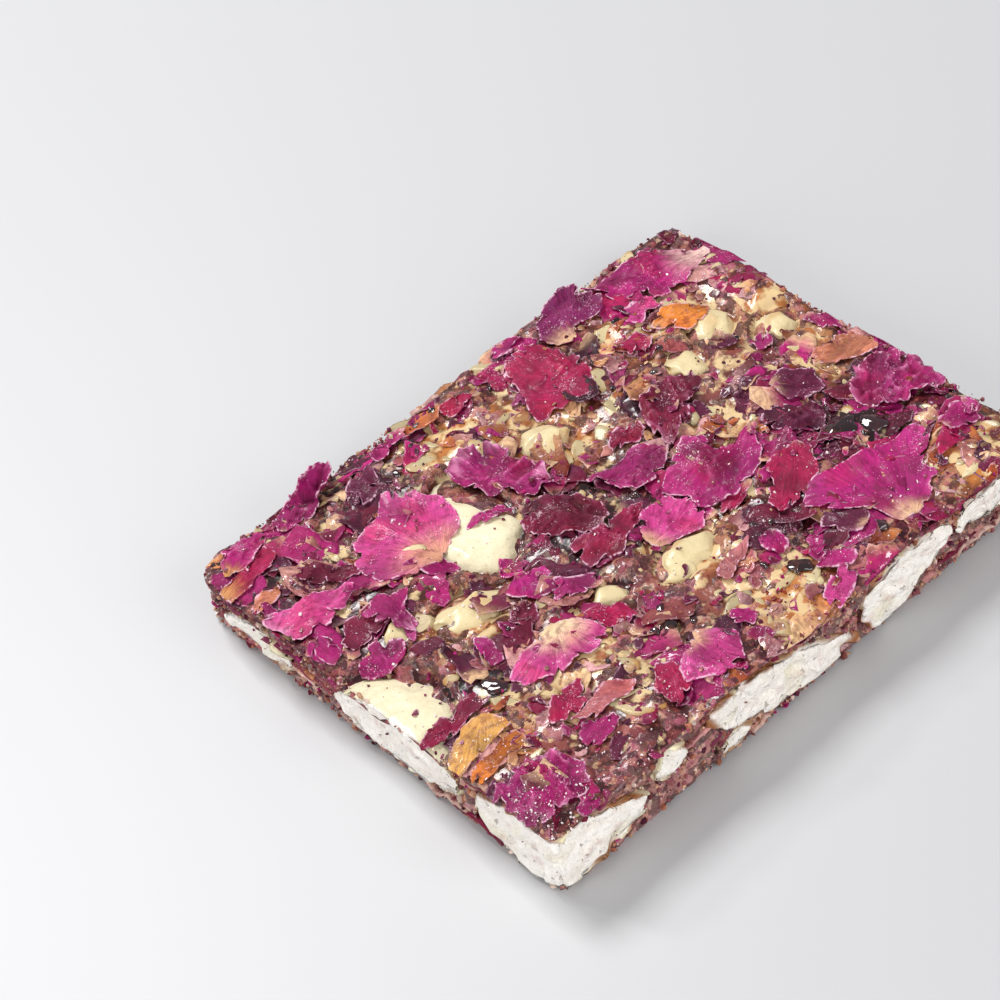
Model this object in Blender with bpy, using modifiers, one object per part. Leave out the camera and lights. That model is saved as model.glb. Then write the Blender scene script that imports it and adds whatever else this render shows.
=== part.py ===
"""Rose chikki: one cut slab of sugar brittle set with rose petals and almonds.

The origin is the middle of the flat underside, +X runs along the long cut side and +Z is up.
Sizes in this file are millimetres, and every mesh is made in metres.
"""

import math
import random

import bmesh
import bpy
import numpy as np
from mathutils import Matrix, Vector, noise
from mathutils.bvhtree import BVHTree

MM = 0.001
SEED = 7

# Slab: the sheet was rolled thinner towards the far left corner
LENGTH = 66.0
WIDTH = 52.8
THICKNESS = 7.1
SLOPE_X = -0.6 / LENGTH
SLOPE_Y = -2.6 / WIDTH
CORNER_RADII = {(-1, -1): 1.2, (1, -1): 1.6, (-1, 1): 3.0, (1, 1): 4.0}
CELLS = (26, 21, 3)
ON_SIDE = 0.499
RAGGED = 0.5
CRUMB_SIZES = (2.6, 2.0)
NEXT_CRUMBS = 10.0
RIM_FALL = 0.45
RIM_BAND = 1.3
LUMP_SIZES = (7.5, 2.8)
LUMP_HEIGHTS = (1.1, 0.7)

# What touches in the real sweet keeps this gap here
GAP = 0.3

# Almonds: how far a half nut's flat top stands above the brittle, and how its tip narrows
PROUD = 0.35
TAPER = 0.2
TIP = 0.25
SHOWING_DEPTH = 1.0
LARGE_ALMOND = 9.0
LARGE_SEGMENTS = (10, 6)
SMALL_SEGMENTS = (8, 5)

# Petals
PETAL_THICKNESS = 0.35
FINE_PETAL = 9.0
GRID_STEP = 0.4
GRID_MARGIN = 3.0
SETTLE_ROUNDS = 4
SAMPLE_STEPS = 4
SAMPLES = [
    (i / SAMPLE_STEPS, j / SAMPLE_STEPS, 1 - (i + j) / SAMPLE_STEPS)
    for i in range(SAMPLE_STEPS + 1)
    for j in range(SAMPLE_STEPS + 1 - i)
]
RING_INSET = 0.92
WAVE_SIZE = 2.2
WAVE_LIFT = 0.5
EDGE_LIMIT = (LENGTH / 2 + 0.2, WIDTH / 2 + 0.2)

# Small torn flakes fused to the brittle
FLAKE_SIDES = 6
FLAKE_THICKNESS = 0.55
FLAKES_ON_TOP = 66
FLAKES_ON_SIDES = 24
FLAKE_RADII = (1.1, 2.4)
FLAKE_UNEVEN = (0.7, 1.15)
FLAKE_NARROW = (0.55, 0.95)
FLAKE_BEND = (-0.25, 0.45)
FLAKE_TILT = 0.5
FLAKE_LIFT = 0.1
FLAKE_SPACING = 2.1
FLAKE_TO_EDGE = 1.6
FLAKE_TO_PETAL = 0.7
SIDE_FLAKE_SINK = 0.35
SIDE_FLAKE_REACH = 0.44
SIDE_FLAKE_TO_TOP = 2.4

# Colours, as red, green and blue from 0 to 255
BRITTLE_COLOUR = (110, 60, 66)
ALMOND_COLOUR = (228, 214, 196)
GLAZED_ALMOND_COLOUR = (213, 184, 148)
MAGENTA = (167, 62, 117)
PINK = (200, 110, 150)
CRIMSON = (150, 44, 84)
DARK = (104, 36, 64)
VIOLET = (128, 56, 96)
SALMON = (200, 142, 116)
ORANGE = (214, 150, 84)
BRITTLE_ROUGHNESS = 0.3
ALMOND_ROUGHNESS = 0.7
GLAZED_ALMOND_ROUGHNESS = 0.35
PETAL_ROUGHNESS = 0.5

# Name, centre x and y, depth of the centre below the top, length, width, thickness,
# heading and pitch in degrees, and whether the nut is halved with its flat side up
ALMONDS = (
    ("almond_near_left_corner", -30.4, -23.3, 4.3, 20.0, 16.0, 7.6, -14, 0, False),
    ("almond_near_small", -17.9, -25.2, 2.4, 5.4, 4.6, 3.4, 10, 0, False),
    ("almond_near_long", -3.7, -25.0, 4.2, 21.4, 11.0, 6.0, 0, -15, False),
    ("almond_near_chip", -10.6, -25.6, 6.5, 5.0, 4.0, 2.0, 0, 0, False),
    ("almond_near_middle", 13.0, -25.2, 3.9, 14.0, 10.0, 6.4, 4, 15, False),
    ("almond_near_right", 25.2, -25.0, 3.0, 10.0, 8.0, 4.2, -6, 0, False),
    ("almond_left_far", -32.2, 16.6, 3.4, 11.0, 7.0, 3.6, 90, 0, False),
    ("almond_left_long", -32.0, -3.8, 3.3, 19.0, 13.0, 6.6, 90, 0, True),
    ("almond_top_large", -10.8, 9.8, 1.6, 15.5, 10.0, 4.6, 70, 0, True),
    ("almond_top_amber", -18.6, 0.6, 1.4, 9.5, 6.2, 4.0, 4, 0, False),
    ("almond_top_cream", 2.6, 12.4, 1.2, 6.6, 5.0, 3.4, -12, 0, False),
    ("almond_top_slice", 18.5, 9.0, 1.2, 6.4, 4.4, 3.6, 78, 0, False),
    ("almond_top_round", 24.2, 10.8, 1.4, 6.6, 5.6, 3.8, -24, 0, False),
    ("almond_top_right", 28.6, 5.9, 1.5, 8.0, 5.0, 3.6, 34, 0, False),
    ("almond_top_middle", -0.2, -10.2, 1.3, 9.0, 5.0, 3.6, 12, 0, False),
    ("almond_top_bead", -8.8, -8.6, 1.0, 5.2, 3.6, 2.8, -8, 0, False),
    ("almond_far_left", -20.5, 25.6, 3.4, 13.0, 8.0, 3.8, 2, 6, False),
    ("almond_far_middle", 2.6, 24.8, 2.6, 11.5, 7.0, 4.4, 4, 0, False),
    ("almond_far_right", 19.5, 25.4, 3.2, 12.0, 8.0, 3.8, -4, -8, False),
    ("almond_right_far", 32.2, 15.6, 3.3, 12.5, 8.0, 3.8, 88, 5, False),
    ("almond_right_middle", 32.0, -4.6, 3.8, 12.0, 9.0, 4.2, 92, -6, False),
    ("almond_right_near", 32.2, -16.2, 3.6, 8.5, 7.0, 4.2, 86, 0, False),
)

# Name, colour, how far the rim curls up, how deep the creases are, and the outline.
# They are listed from the lowest to the topmost
PETALS = (
    ("petal_far_left_spiky", VIOLET, 1.6, 0.5, (
        (-24.2, 23.2), (-20.8, 22.4), (-18.6, 23.6), (-15.6, 25.0), (-15.2, 26.4),
        (-18.8, 26.5), (-22.4, 26.2))),
    ("petal_far_left_folded", CRIMSON, 0.3, 0.3, (
        (-33.1, 19.7), (-29.4, 19.4), (-25.8, 20.6), (-26.4, 22.6), (-30.4, 22.0),
        (-33.1, 21.6))),
    ("petal_far_left_bright", MAGENTA, 0.6, 0.3, (
        (-31.8, 22.5), (-30.4, 21.6), (-27.0, 23.0), (-24.7, 24.5), (-25.3, 25.8),
        (-28.6, 25.9), (-31.3, 24.2))),
    ("petal_left_dark", DARK, 0.5, 0.4, (
        (-26.6, 14.2), (-23.2, 11.6), (-21.2, 12.6), (-23.4, 14.8), (-25.4, 17.6),
        (-27.8, 16.8))),
    ("petal_left_bleached", PINK, 0.5, 0.4, (
        (-33.1, 11.6), (-31.4, 9.8), (-26.2, 9.8), (-24.0, 10.9), (-27.0, 13.6),
        (-30.6, 14.1), (-32.8, 14.6))),
    ("petal_fan", PINK, 0.4, 0.2, (
        (-16.3, 7.4), (-13.6, 8.8), (-11.2, 11.0), (-10.5, 14.6), (-11.2, 17.2),
        (-14.0, 18.7), (-16.2, 17.3), (-20.2, 16.0), (-22.3, 13.8), (-22.0, 9.8),
        (-19.4, 7.8))),
    ("petal_torn_star", VIOLET, 0.3, 0.4, (
        (-24.2, 2.2), (-23.4, 5.0), (-21.4, 6.6), (-24.0, 7.9), (-26.2, 7.4),
        (-25.4, 4.8))),
    ("petal_crumpled_white_rim", VIOLET, 1.3, 0.9, (
        (-2.6, 6.0), (-1.2, 9.2), (-1.7, 12.6), (-3.2, 15.6), (-5.6, 17.1),
        (-8.1, 17.1), (-8.7, 14.6), (-7.6, 11.6), (-5.7, 9.6), (-4.7, 7.2))),
    ("petal_crimson_upright", CRIMSON, 0.5, 0.3, (
        (9.2, 12.6), (10.9, 14.8), (12.0, 16.6), (11.3, 19.6), (10.3, 22.8),
        (6.4, 23.2), (4.8, 19.1), (3.4, 14.9), (6.9, 12.9))),
    ("petal_far_violet", DARK, 1.8, 0.5, (
        (13.4, 19.8), (15.0, 21.7), (18.0, 20.9), (19.2, 22.2), (18.0, 24.0),
        (19.0, 25.8), (16.6, 26.3), (13.7, 25.7), (11.8, 24.0), (11.0, 21.6))),
    ("petal_far_right_pale", PINK, 0.8, 0.4, (
        (21.4, 20.4), (23.4, 18.2), (26.4, 17.2), (29.4, 18.3), (32.6, 19.4),
        (29.8, 22.8), (25.8, 24.3), (21.4, 24.9), (18.9, 24.0))),
    ("petal_dark_crumpled", DARK, 0.9, 0.9, (
        (-3.6, -1.6), (-1.6, -0.9), (-0.6, 1.6), (-1.6, 4.0), (-4.2, 6.0),
        (-6.4, 6.7), (-8.1, 4.0), (-8.1, 1.6), (-6.1, -0.4))),
    ("petal_plum_middle", VIOLET, 0.6, 0.6, (
        (1.0, 0.5), (3.4, -1.0), (6.4, -0.5), (8.0, 1.0), (6.4, 3.5), (3.4, 4.5),
        (0.4, 4.0))),
    ("petal_crimson_small", CRIMSON, 0.4, 0.5, (
        (6.6, 4.4), (8.6, 4.5), (9.3, 6.3), (6.7, 7.2), (4.9, 5.8))),
    ("petal_dark_right", DARK, 0.8, 0.7, (
        (8.2, 0.2), (11.4, 1.9), (14.4, 3.9), (17.8, 5.2), (17.4, 7.0), (14.0, 8.2),
        (10.5, 7.4), (9.5, 4.0))),
    ("petal_dark_middle", DARK, 0.4, 0.5, (
        (-7.2, -4.4), (-4.6, -6.0), (-2.0, -4.5), (1.2, -2.8), (0.0, -1.5),
        (-3.8, -2.0), (-7.2, -1.4))),
    ("petal_bright_middle", PINK, 0.5, 0.2, (
        (-1.9, -6.4), (-0.6, -8.4), (3.4, -8.7), (5.4, -7.5), (4.9, -5.4), (3.4, -3.4),
        (1.0, -3.6), (-0.6, -4.4))),
    ("petal_cracked_large", MAGENTA, 0.5, 0.7, (
        (5.2, -7.4), (8.4, -8.9), (11.9, -8.5), (14.4, -5.9), (16.2, -3.4),
        (13.9, -3.6), (10.7, -2.4), (10.0, -0.2), (6.0, -1.4), (3.4, -2.9),
        (4.8, -5.3))),
    ("petal_plum_frilled", DARK, 1.1, 0.7, (
        (17.0, -7.9), (20.0, -9.1), (22.4, -6.6), (20.0, -3.9), (18.0, -3.1),
        (16.5, -4.9))),
    ("petal_salmon_right", SALMON, 0.7, 0.3, (
        (28.4, -2.9), (31.4, -5.0), (33.1, -3.8), (32.5, -0.9), (29.0, -0.4),
        (26.0, -0.9))),
    ("petal_frilled_right", VIOLET, 1.5, 1.0, (
        (24.6, -9.8), (26.0, -12.3), (30.4, -13.8), (33.1, -13.2), (33.1, -7.8),
        (31.4, -5.8), (28.4, -5.6), (25.2, -7.4))),
    ("petal_crimson_diagonal", CRIMSON, 0.4, 0.2, (
        (8.9, -12.4), (8.9, -13.9), (11.4, -14.4), (14.8, -13.5), (16.8, -10.5),
        (15.8, -9.2), (12.4, -9.4))),
    ("petal_flat_large", MAGENTA, 0.3, 0.2, (
        (10.4, -14.9), (12.2, -18.4), (14.2, -20.9), (14.8, -24.1), (18.8, -24.4),
        (21.8, -22.4), (22.3, -20.2), (25.8, -17.9), (25.3, -15.9), (21.3, -14.9),
        (14.4, -13.9))),
    ("petal_left_pink", PINK, 0.5, 0.2, (
        (-22.0, -11.1), (-18.5, -12.4), (-14.6, -13.3), (-12.6, -11.8), (-13.6, -9.4),
        (-16.0, -7.6), (-19.4, -7.9), (-22.0, -9.4))),
    ("petal_left_magenta", MAGENTA, 0.4, 0.3, (
        (-12.4, -12.3), (-8.9, -12.9), (-9.0, -10.9), (-13.0, -9.3))),
    ("petal_near_magenta", MAGENTA, 0.5, 0.4, (
        (-15.3, -22.8), (-14.4, -24.3), (-11.6, -23.8), (-11.0, -20.9), (-12.6, -18.9),
        (-14.6, -20.7))),
    ("petal_near_pink", PINK, 0.6, 0.2, (
        (-12.2, -22.8), (-9.6, -24.6), (-7.0, -24.9), (-5.2, -22.6), (-5.8, -20.1),
        (-8.2, -18.9), (-11.0, -20.8))),
    ("petal_corner_crumpled", VIOLET, 1.0, 1.0, (
        (-33.1, -24.0), (-27.6, -25.1), (-25.1, -22.3), (-26.2, -19.6), (-29.6, -18.4),
        (-33.1, -18.9))),
    ("petal_orange_striped", ORANGE, 0.4, 0.3, (
        (-33.1, -15.4), (-33.1, -17.0), (-27.2, -16.8), (-26.2, -14.8), (-29.6, -15.0))),
    ("petal_yellow_glazed", ORANGE, 0.4, 0.3, (
        (-33.1, -14.2), (-30.0, -14.6), (-26.4, -13.8), (-27.2, -10.8), (-29.7, -10.4),
        (-32.8, -12.2))),
    ("petal_left_glossy", CRIMSON, 0.5, 0.4, (
        (-33.1, -8.9), (-30.0, -10.1), (-25.6, -9.8), (-26.0, -8.0), (-31.0, -7.6))),
)


def top_plane(x, y):
    """Height of the rolled top, without its lumps."""
    return THICKNESS + SLOPE_X * x + SLOPE_Y * y


def lumps(x, y):
    """Low swellings of nut and glaze in the top."""
    return sum(
        height * noise.noise(Vector((x / size, y / size, size)))
        for size, height in zip(LUMP_SIZES, LUMP_HEIGHTS)
    )


def linear_colour(colour):
    """Red, green and blue from 0 to 255 as the linear values of a shader."""
    channels = []
    for channel in colour:
        value = channel / 255
        low = value <= 0.04045
        channels.append(value / 12.92 if low else ((value + 0.055) / 1.055) ** 2.4)
    return (*channels, 1.0)


def make_material(name, colour, roughness):
    material = bpy.data.materials.new(name)
    material.use_nodes = True
    shader = material.node_tree.nodes["Principled BSDF"]
    shader.inputs["Base Color"].default_value = linear_colour(colour)
    shader.inputs["Roughness"].default_value = roughness
    shader.inputs["Metallic"].default_value = 0.0
    return material


def make_collection(name):
    collection = bpy.data.collections.new(name)
    bpy.context.scene.collection.children.link(collection)
    return collection


def add_object(name, bm, collection, material=None):
    """A mesh object in metres from a bmesh in millimetres."""
    bmesh.ops.scale(bm, vec=(MM, MM, MM), verts=bm.verts[:])
    mesh = bpy.data.meshes.new(name)
    bm.to_mesh(mesh)
    bm.free()
    obj = bpy.data.objects.new(name, mesh)
    collection.objects.link(obj)
    if material:
        mesh.materials.append(material)
    return obj


def make_cutter(obj):
    obj.hide_render = True
    obj.display_type = "WIRE"
    return obj


def evaluated(obj):
    """The object's mesh with its modifiers, as a tree that rays can hit."""
    return BVHTree.FromObject(obj, bpy.context.evaluated_depsgraph_get())


def round_corner(x, y):
    """Brings a point of the rectangle inside its rounded corner."""
    side_x = 1 if x > 0 else -1
    side_y = 1 if y > 0 else -1
    radius = CORNER_RADII[side_x, side_y]
    centre = Vector((side_x * (LENGTH / 2 - radius), side_y * (WIDTH / 2 - radius)))
    offset = Vector((x, y)) - centre
    if offset.x * side_x <= 0 or offset.y * side_y <= 0 or offset.length <= radius:
        return x, y
    return tuple(centre + offset.normalized() * radius)


def cut_back(along, height, side):
    """How far the broken sugar lies behind the knife's cut."""
    size, rise = CRUMB_SIZES
    crumbs = noise.noise(Vector((along / size, height / rise, NEXT_CRUMBS * side)))
    return RAGGED * (0.5 + crumbs)


def make_slab(collection, material):
    """The sheet of brittle: a box whose top is lumpy and whose cut sides are ragged."""
    bm = bmesh.new()
    bmesh.ops.create_cube(bm, size=1.0)
    for axis, cells in enumerate(CELLS):
        across = [
            edge for edge in bm.edges if edge.verts[0].co[axis] != edge.verts[1].co[axis]
        ]
        bmesh.ops.subdivide_edges(bm, edges=across, cuts=cells - 1)
    for vertex in bm.verts:
        u, v, w = vertex.co
        x, y = round_corner(u * LENGTH, v * WIDTH)
        inside = min(LENGTH / 2 - abs(x), WIDTH / 2 - abs(y))
        fall = RIM_FALL * max(0.0, 1 - inside / RIM_BAND)
        height = (w + 0.5) * (top_plane(x, y) + lumps(x, y) - fall)
        if abs(u) > ON_SIDE:
            x -= math.copysign(cut_back(y, height, 1 if u > 0 else 2), x)
        if abs(v) > ON_SIDE:
            y -= math.copysign(cut_back(x, height, 3 if v > 0 else 4), y)
        vertex.co = (x, y, height)
    bmesh.ops.triangulate(bm, faces=bm.faces[:])
    return add_object("brittle", bm, collection, material)


def make_cut_block(collection):
    """The block that the knife leaves: nuts that reach its sides are cut flush with it."""
    bm = bmesh.new()
    bmesh.ops.create_cube(bm, size=1.0)
    bmesh.ops.scale(bm, vec=(LENGTH, WIDTH, 4 * THICKNESS), verts=bm.verts[:])
    upright = [e for e in bm.edges if abs(e.verts[0].co.z - e.verts[1].co.z) > THICKNESS]
    bmesh.ops.bevel(
        bm, geom=upright, offset=CORNER_RADII[-1, -1], segments=3, affect="EDGES", profile=0.5
    )
    return make_cutter(add_object("cut_block", bm, collection))


def almond_mesh(almond, grow):
    """A nut with a blunt and a pointed end, grown all round by a clearance."""
    _, x, y, depth, length, width, thickness, heading, pitch, halved = almond
    bm = bmesh.new()
    around, along = LARGE_SEGMENTS if length >= LARGE_ALMOND else SMALL_SEGMENTS
    bmesh.ops.create_uvsphere(bm, u_segments=around, v_segments=along, radius=1.0)
    place = (
        Matrix.Translation((x, y, top_plane(x, y) - depth))
        @ Matrix.Rotation(math.radians(heading), 4, "Z")
        @ Matrix.Rotation(math.radians(-pitch), 4, "Y")
    )
    flat = top_plane(x, y) + PROUD
    for vertex in bm.verts:
        across, up, forward = vertex.co
        full = (1 - TAPER * forward) * (1 - TIP * max(forward, 0.0) ** 2)
        point = place @ Vector((
            forward * (length / 2 + grow),
            across * (width / 2 * full + grow),
            up * (thickness / 2 * full + grow),
        ))
        if halved and not grow:
            point.z = min(point.z, flat)
        vertex.co = point
    bmesh.ops.triangulate(bm, faces=bm.faces[:])
    bmesh.ops.recalc_face_normals(bm, faces=bm.faces[:])
    return bm


def reaches_side(obj):
    """Whether a nut crosses the plane of a cut side."""
    return any(
        abs(v.co.x) > LENGTH / 2 * MM or abs(v.co.y) > WIDTH / 2 * MM for v in obj.data.vertices
    )


def make_almonds(collection, pockets, block):
    nuts = []
    for almond in ALMONDS:
        name = almond[0]
        glazed = name.startswith("almond_top")
        colour = GLAZED_ALMOND_COLOUR if glazed else ALMOND_COLOUR
        roughness = GLAZED_ALMOND_ROUGHNESS if glazed else ALMOND_ROUGHNESS
        material = make_material(name, colour, roughness)
        nut = add_object(name, almond_mesh(almond, 0.0), collection, material)
        make_cutter(add_object(f"pocket_{name}", almond_mesh(almond, GAP), pockets))
        if reaches_side(nut):
            cut = nut.modifiers.new("knife cut", "BOOLEAN")
            cut.operation = "INTERSECT"
            cut.object = block
        nuts.append(nut)
    return nuts


def inside_outline(x, y, outline, margin):
    """Whether a point lies in a closed outline or nearer to it than the margin."""
    point = Vector((x, y))
    hit = False
    for (ax, ay), (bx, by) in zip(outline, outline[1:] + outline[:1]):
        start = Vector((ax, ay))
        side = Vector((bx, by)) - start
        share = max(0.0, min(1.0, (point - start).dot(side) / side.length_squared))
        if (start + side * share - point).length < margin:
            return True
        if (ay > y) != (by > y) and x < ax + (y - ay) / (by - ay) * (bx - ax):
            hit = not hit
    return hit


def near_almond(x, y, margin):
    """Whether a point of the top lies over a nut that shows there."""
    for _, ax, ay, depth, length, width, thickness, heading, _, _ in ALMONDS:
        offset = Matrix.Rotation(math.radians(-heading), 2) @ Vector((x - ax, y - ay))
        reach = (offset.x / (length / 2 + margin)) ** 2 + (offset.y / (width / 2 + margin)) ** 2
        if reach < 1 and depth - thickness / 2 < SHOWING_DEPTH:
            return True
    return False


def corner_number(point, corners):
    """Which corner of a regular polygon a point lies towards, counted from +Y."""
    turn = math.atan2(point.y, point.x) / math.tau
    return round((turn - 0.25) * corners) % corners


def flake_mesh(bm, place, radius, draw):
    """One torn flake: a thin lopsided disc, bent along its middle."""
    made = bmesh.ops.create_cone(
        bm, cap_ends=True, cap_tris=True, segments=FLAKE_SIDES, radius1=1.0, radius2=1.0,
        depth=FLAKE_THICKNESS,
    )
    narrow = draw.uniform(*FLAKE_NARROW)
    bend = draw.uniform(*FLAKE_BEND)
    reach = [radius * draw.uniform(*FLAKE_UNEVEN) for _ in range(FLAKE_SIDES)]
    for vertex in made["verts"]:
        side = reach[corner_number(vertex.co, FLAKE_SIDES)]
        x = vertex.co.x * side
        y = vertex.co.y * side * narrow
        vertex.co = place @ Vector((x, y, vertex.co.z + bend * x * x / radius))


def near_side_almond(x, y, height):
    """Whether a flake on a cut side would lie on a nut's cut face."""
    margin = FLAKE_RADII[1]
    for _, ax, ay, depth, length, width, thickness, heading, pitch, _ in ALMONDS:
        offset = Vector((x - ax, y - ay, height - top_plane(ax, ay) + depth))
        offset = Matrix.Rotation(math.radians(-heading), 3, "Z") @ offset
        offset = Matrix.Rotation(math.radians(pitch), 3, "Y") @ offset
        halves = (length / 2 + margin, width / 2 + margin, thickness / 2 + margin)
        if sum((offset[i] / halves[i]) ** 2 for i in range(3)) < 1:
            return True
    return False


def flake_places(draw):
    """Where the small flakes lie: evenly over the bare top, then along the four sides."""
    places = []
    half_length = LENGTH / 2 - FLAKE_TO_EDGE
    half_width = WIDTH / 2 - FLAKE_TO_EDGE
    while len(places) < FLAKES_ON_TOP:
        x = draw.uniform(-half_length, half_length)
        y = draw.uniform(-half_width, half_width)
        covered = any(inside_outline(x, y, petal[4], FLAKE_TO_PETAL) for petal in PETALS)
        crowded = any(math.dist((x, y), place[:2]) < FLAKE_SPACING for place in places)
        if covered or crowded or near_almond(x, y, FLAKE_TO_EDGE):
            continue
        tilt = Matrix.Rotation(draw.uniform(-FLAKE_TILT, FLAKE_TILT), 4, draw.choice("XY"))
        lie = Matrix.Rotation(draw.uniform(0, math.tau), 4, "Z") @ tilt
        height = top_plane(x, y) + lumps(x, y) + FLAKE_LIFT
        places.append((x, y, height, lie))
    for side in range(FLAKES_ON_SIDES):
        along = draw.uniform(-SIDE_FLAKE_REACH, SIDE_FLAKE_REACH)
        height = draw.uniform(FLAKE_TO_EDGE, THICKNESS - SIDE_FLAKE_TO_TOP)
        turn = side % 4
        if turn % 2:
            x, y = math.copysign(LENGTH / 2 - SIDE_FLAKE_SINK, turn - 2), along * WIDTH
        else:
            x, y = along * LENGTH, math.copysign(WIDTH / 2 - SIDE_FLAKE_SINK, turn - 1)
        if near_side_almond(x, y, height):
            continue
        upright = Matrix.Rotation(math.pi / 2, 4, "Y" if turn % 2 else "X")
        places.append((x, y, height, upright @ Matrix.Rotation(draw.uniform(0, 3), 4, "Z")))
    return places


def drop_scraps(bm):
    """Keeps the largest connected body of a mesh, and drops crumbs that a cut left loose."""
    left = set(bm.verts)
    bodies = []
    while left:
        stack = [left.pop()]
        body = list(stack)
        while stack:
            for edge in stack.pop().link_edges:
                for vertex in edge.verts:
                    if vertex in left:
                        left.discard(vertex)
                        stack.append(vertex)
                        body.append(vertex)
        bodies.append(body)
    bodies.sort(key=len)
    for body in bodies[:-1]:
        bmesh.ops.delete(bm, geom=body, context="VERTS")


def apply_boolean(obj, operation, collection):
    """One Boolean with every object of a collection, applied."""
    modifier = obj.modifiers.new(operation.lower(), "BOOLEAN")
    modifier.operation = operation
    modifier.operand_type = "COLLECTION"
    modifier.collection = collection
    mesh = bpy.data.meshes.new_from_object(obj.evaluated_get(bpy.context.evaluated_depsgraph_get()))
    obj.modifiers.clear()
    bm = bmesh.new()
    bm.from_mesh(mesh)
    drop_scraps(bm)
    bmesh.ops.triangulate(bm, faces=bm.faces[:])
    bm.to_mesh(obj.data)
    bm.free()
    bpy.data.meshes.remove(mesh)


def fuse_flakes(slab, draw):
    """Joins the small torn flakes to the slab, and removes their own objects."""
    flakes = make_collection("flakes")
    for number, (x, y, height, lie) in enumerate(flake_places(draw)):
        bm = bmesh.new()
        place = Matrix.Translation((x, y, height)) @ lie
        flake_mesh(bm, place, draw.uniform(*FLAKE_RADII), draw)
        add_object(f"flake_{number}", bm, flakes)
    apply_boolean(slab, "UNION", flakes)
    for flake in list(flakes.objects):
        bpy.data.objects.remove(flake)
    bpy.data.collections.remove(flakes)


class Ground:
    """The height of the topmost thing at each place, on which the next petal is laid."""

    def __init__(self):
        self.xs = np.arange(-LENGTH / 2 - GRID_MARGIN, LENGTH / 2 + GRID_MARGIN, GRID_STEP)
        self.ys = np.arange(-WIDTH / 2 - GRID_MARGIN, WIDTH / 2 + GRID_MARGIN, GRID_STEP)
        self.heights = np.array([[top_plane(x, y) for y in self.ys] for x in self.xs])

    def lay(self, obj):
        """Takes in an object: no place stays lower than its upper side."""
        tree = evaluated(obj)
        corners = [obj.matrix_world @ Vector(c) for c in obj.bound_box]
        low = [min(c[i] for c in corners) / MM - GRID_STEP for i in range(2)]
        high = [max(c[i] for c in corners) / MM + GRID_STEP for i in range(2)]
        for i in np.nonzero((self.xs > low[0]) & (self.xs < high[0]))[0]:
            for j in np.nonzero((self.ys > low[1]) & (self.ys < high[1]))[0]:
                start = Vector((self.xs[i], self.ys[j], 10 * THICKNESS)) * MM
                hit = tree.ray_cast(start, Vector((0, 0, -1)))[0]
                if hit:
                    self.heights[i, j] = max(self.heights[i, j], hit.z / MM)

    def under(self, x, y):
        """The highest of the four known heights round a place."""
        i = int(np.clip((x - self.xs[0]) / GRID_STEP, 0, len(self.xs) - 2))
        j = int(np.clip((y - self.ys[0]) / GRID_STEP, 0, len(self.ys) - 2))
        return self.heights[i : i + 2, j : j + 2].max()


def petal_disc(spokes, rings):
    """A flat disc of radius 1 in rings of triangles round its middle."""
    bm = bmesh.new()
    bmesh.ops.create_circle(bm, cap_ends=True, segments=spokes, radius=1.0)
    bm.faces.ensure_lookup_table()
    middle = bm.faces[0]
    for _ in range(rings - 1):
        bmesh.ops.inset_individual(bm, faces=[middle], thickness=RING_INSET / rings)
    bmesh.ops.poke(bm, faces=[middle])
    bmesh.ops.triangulate(bm, faces=bm.faces[:])
    return bm


def make_petal(petal, collection, ground):
    """A thin wavy petal, laid over whatever is already in its place."""
    name, colour, curl, crease, outline = petal
    sides = zip(outline, outline[1:] + outline[:1])
    turned = sum(ax * by - bx * ay for (ax, ay), (bx, by) in sides)
    corners = [Vector(p) for p in (outline if turned > 0 else outline[::-1])]
    middle = sum(corners, Vector((0.0, 0.0))) / len(corners)
    size = max((corner - middle).length for corner in corners)
    bm = petal_disc(len(corners), 3 if 2 * size > FINE_PETAL else 2)
    for vertex in bm.verts:
        share = vertex.co.xy.length
        place = middle + (corners[corner_number(vertex.co, len(corners))] - middle) * share
        x = max(-EDGE_LIMIT[0], min(EDGE_LIMIT[0], place.x))
        y = max(-EDGE_LIMIT[1], min(EDGE_LIMIT[1], place.y))
        wave = WAVE_LIFT + noise.noise(Vector((x / WAVE_SIZE, y / WAVE_SIZE, size)))
        vertex.co = (x, y, ground.under(x, y) + GAP + curl * share**3 + crease * wave)
    settle(bm, ground)
    bmesh.ops.recalc_face_normals(bm, faces=bm.faces[:])
    if bm.faces[:][0].normal.z < 0:
        bmesh.ops.reverse_faces(bm, faces=bm.faces[:])
    obj = add_object(name, bm, collection, make_material(name, colour, PETAL_ROUGHNESS))
    shell = obj.modifiers.new("thickness", "SOLIDIFY")
    shell.thickness = PETAL_THICKNESS * MM
    shell.offset = 1.0
    ground.lay(obj)
    return obj


def settle(bm, ground):
    """Raises a petal's points until each triangle clears what lies below it."""
    for _ in range(SETTLE_ROUNDS):
        for face in bm.faces:
            short = 0.0
            for weights in SAMPLES:
                point = sum((v.co * w for v, w in zip(face.verts, weights)), Vector())
                short = max(short, ground.under(point.x, point.y) + GAP - point.z)
            for vertex in face.verts:
                vertex.co.z += short


def main():
    for obj in list(bpy.data.objects):
        bpy.data.objects.remove(obj)
    draw = random.Random(SEED)
    pieces = make_collection("rose_chikki")
    cutters = make_collection("cutters")
    pockets = make_collection("pockets")

    slab = make_slab(pieces, make_material("brittle", BRITTLE_COLOUR, BRITTLE_ROUGHNESS))
    fuse_flakes(slab, draw)
    nuts = make_almonds(pieces, pockets, make_cut_block(cutters))
    apply_boolean(slab, "DIFFERENCE", pockets)
    for pocket in list(pockets.objects):
        bpy.data.objects.remove(pocket)
    bpy.data.collections.remove(pockets)

    ground = Ground()
    for obj in [slab, *nuts]:
        ground.lay(obj)
    for petal in PETALS:
        make_petal(petal, pieces, ground)


main()
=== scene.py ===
import math

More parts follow.
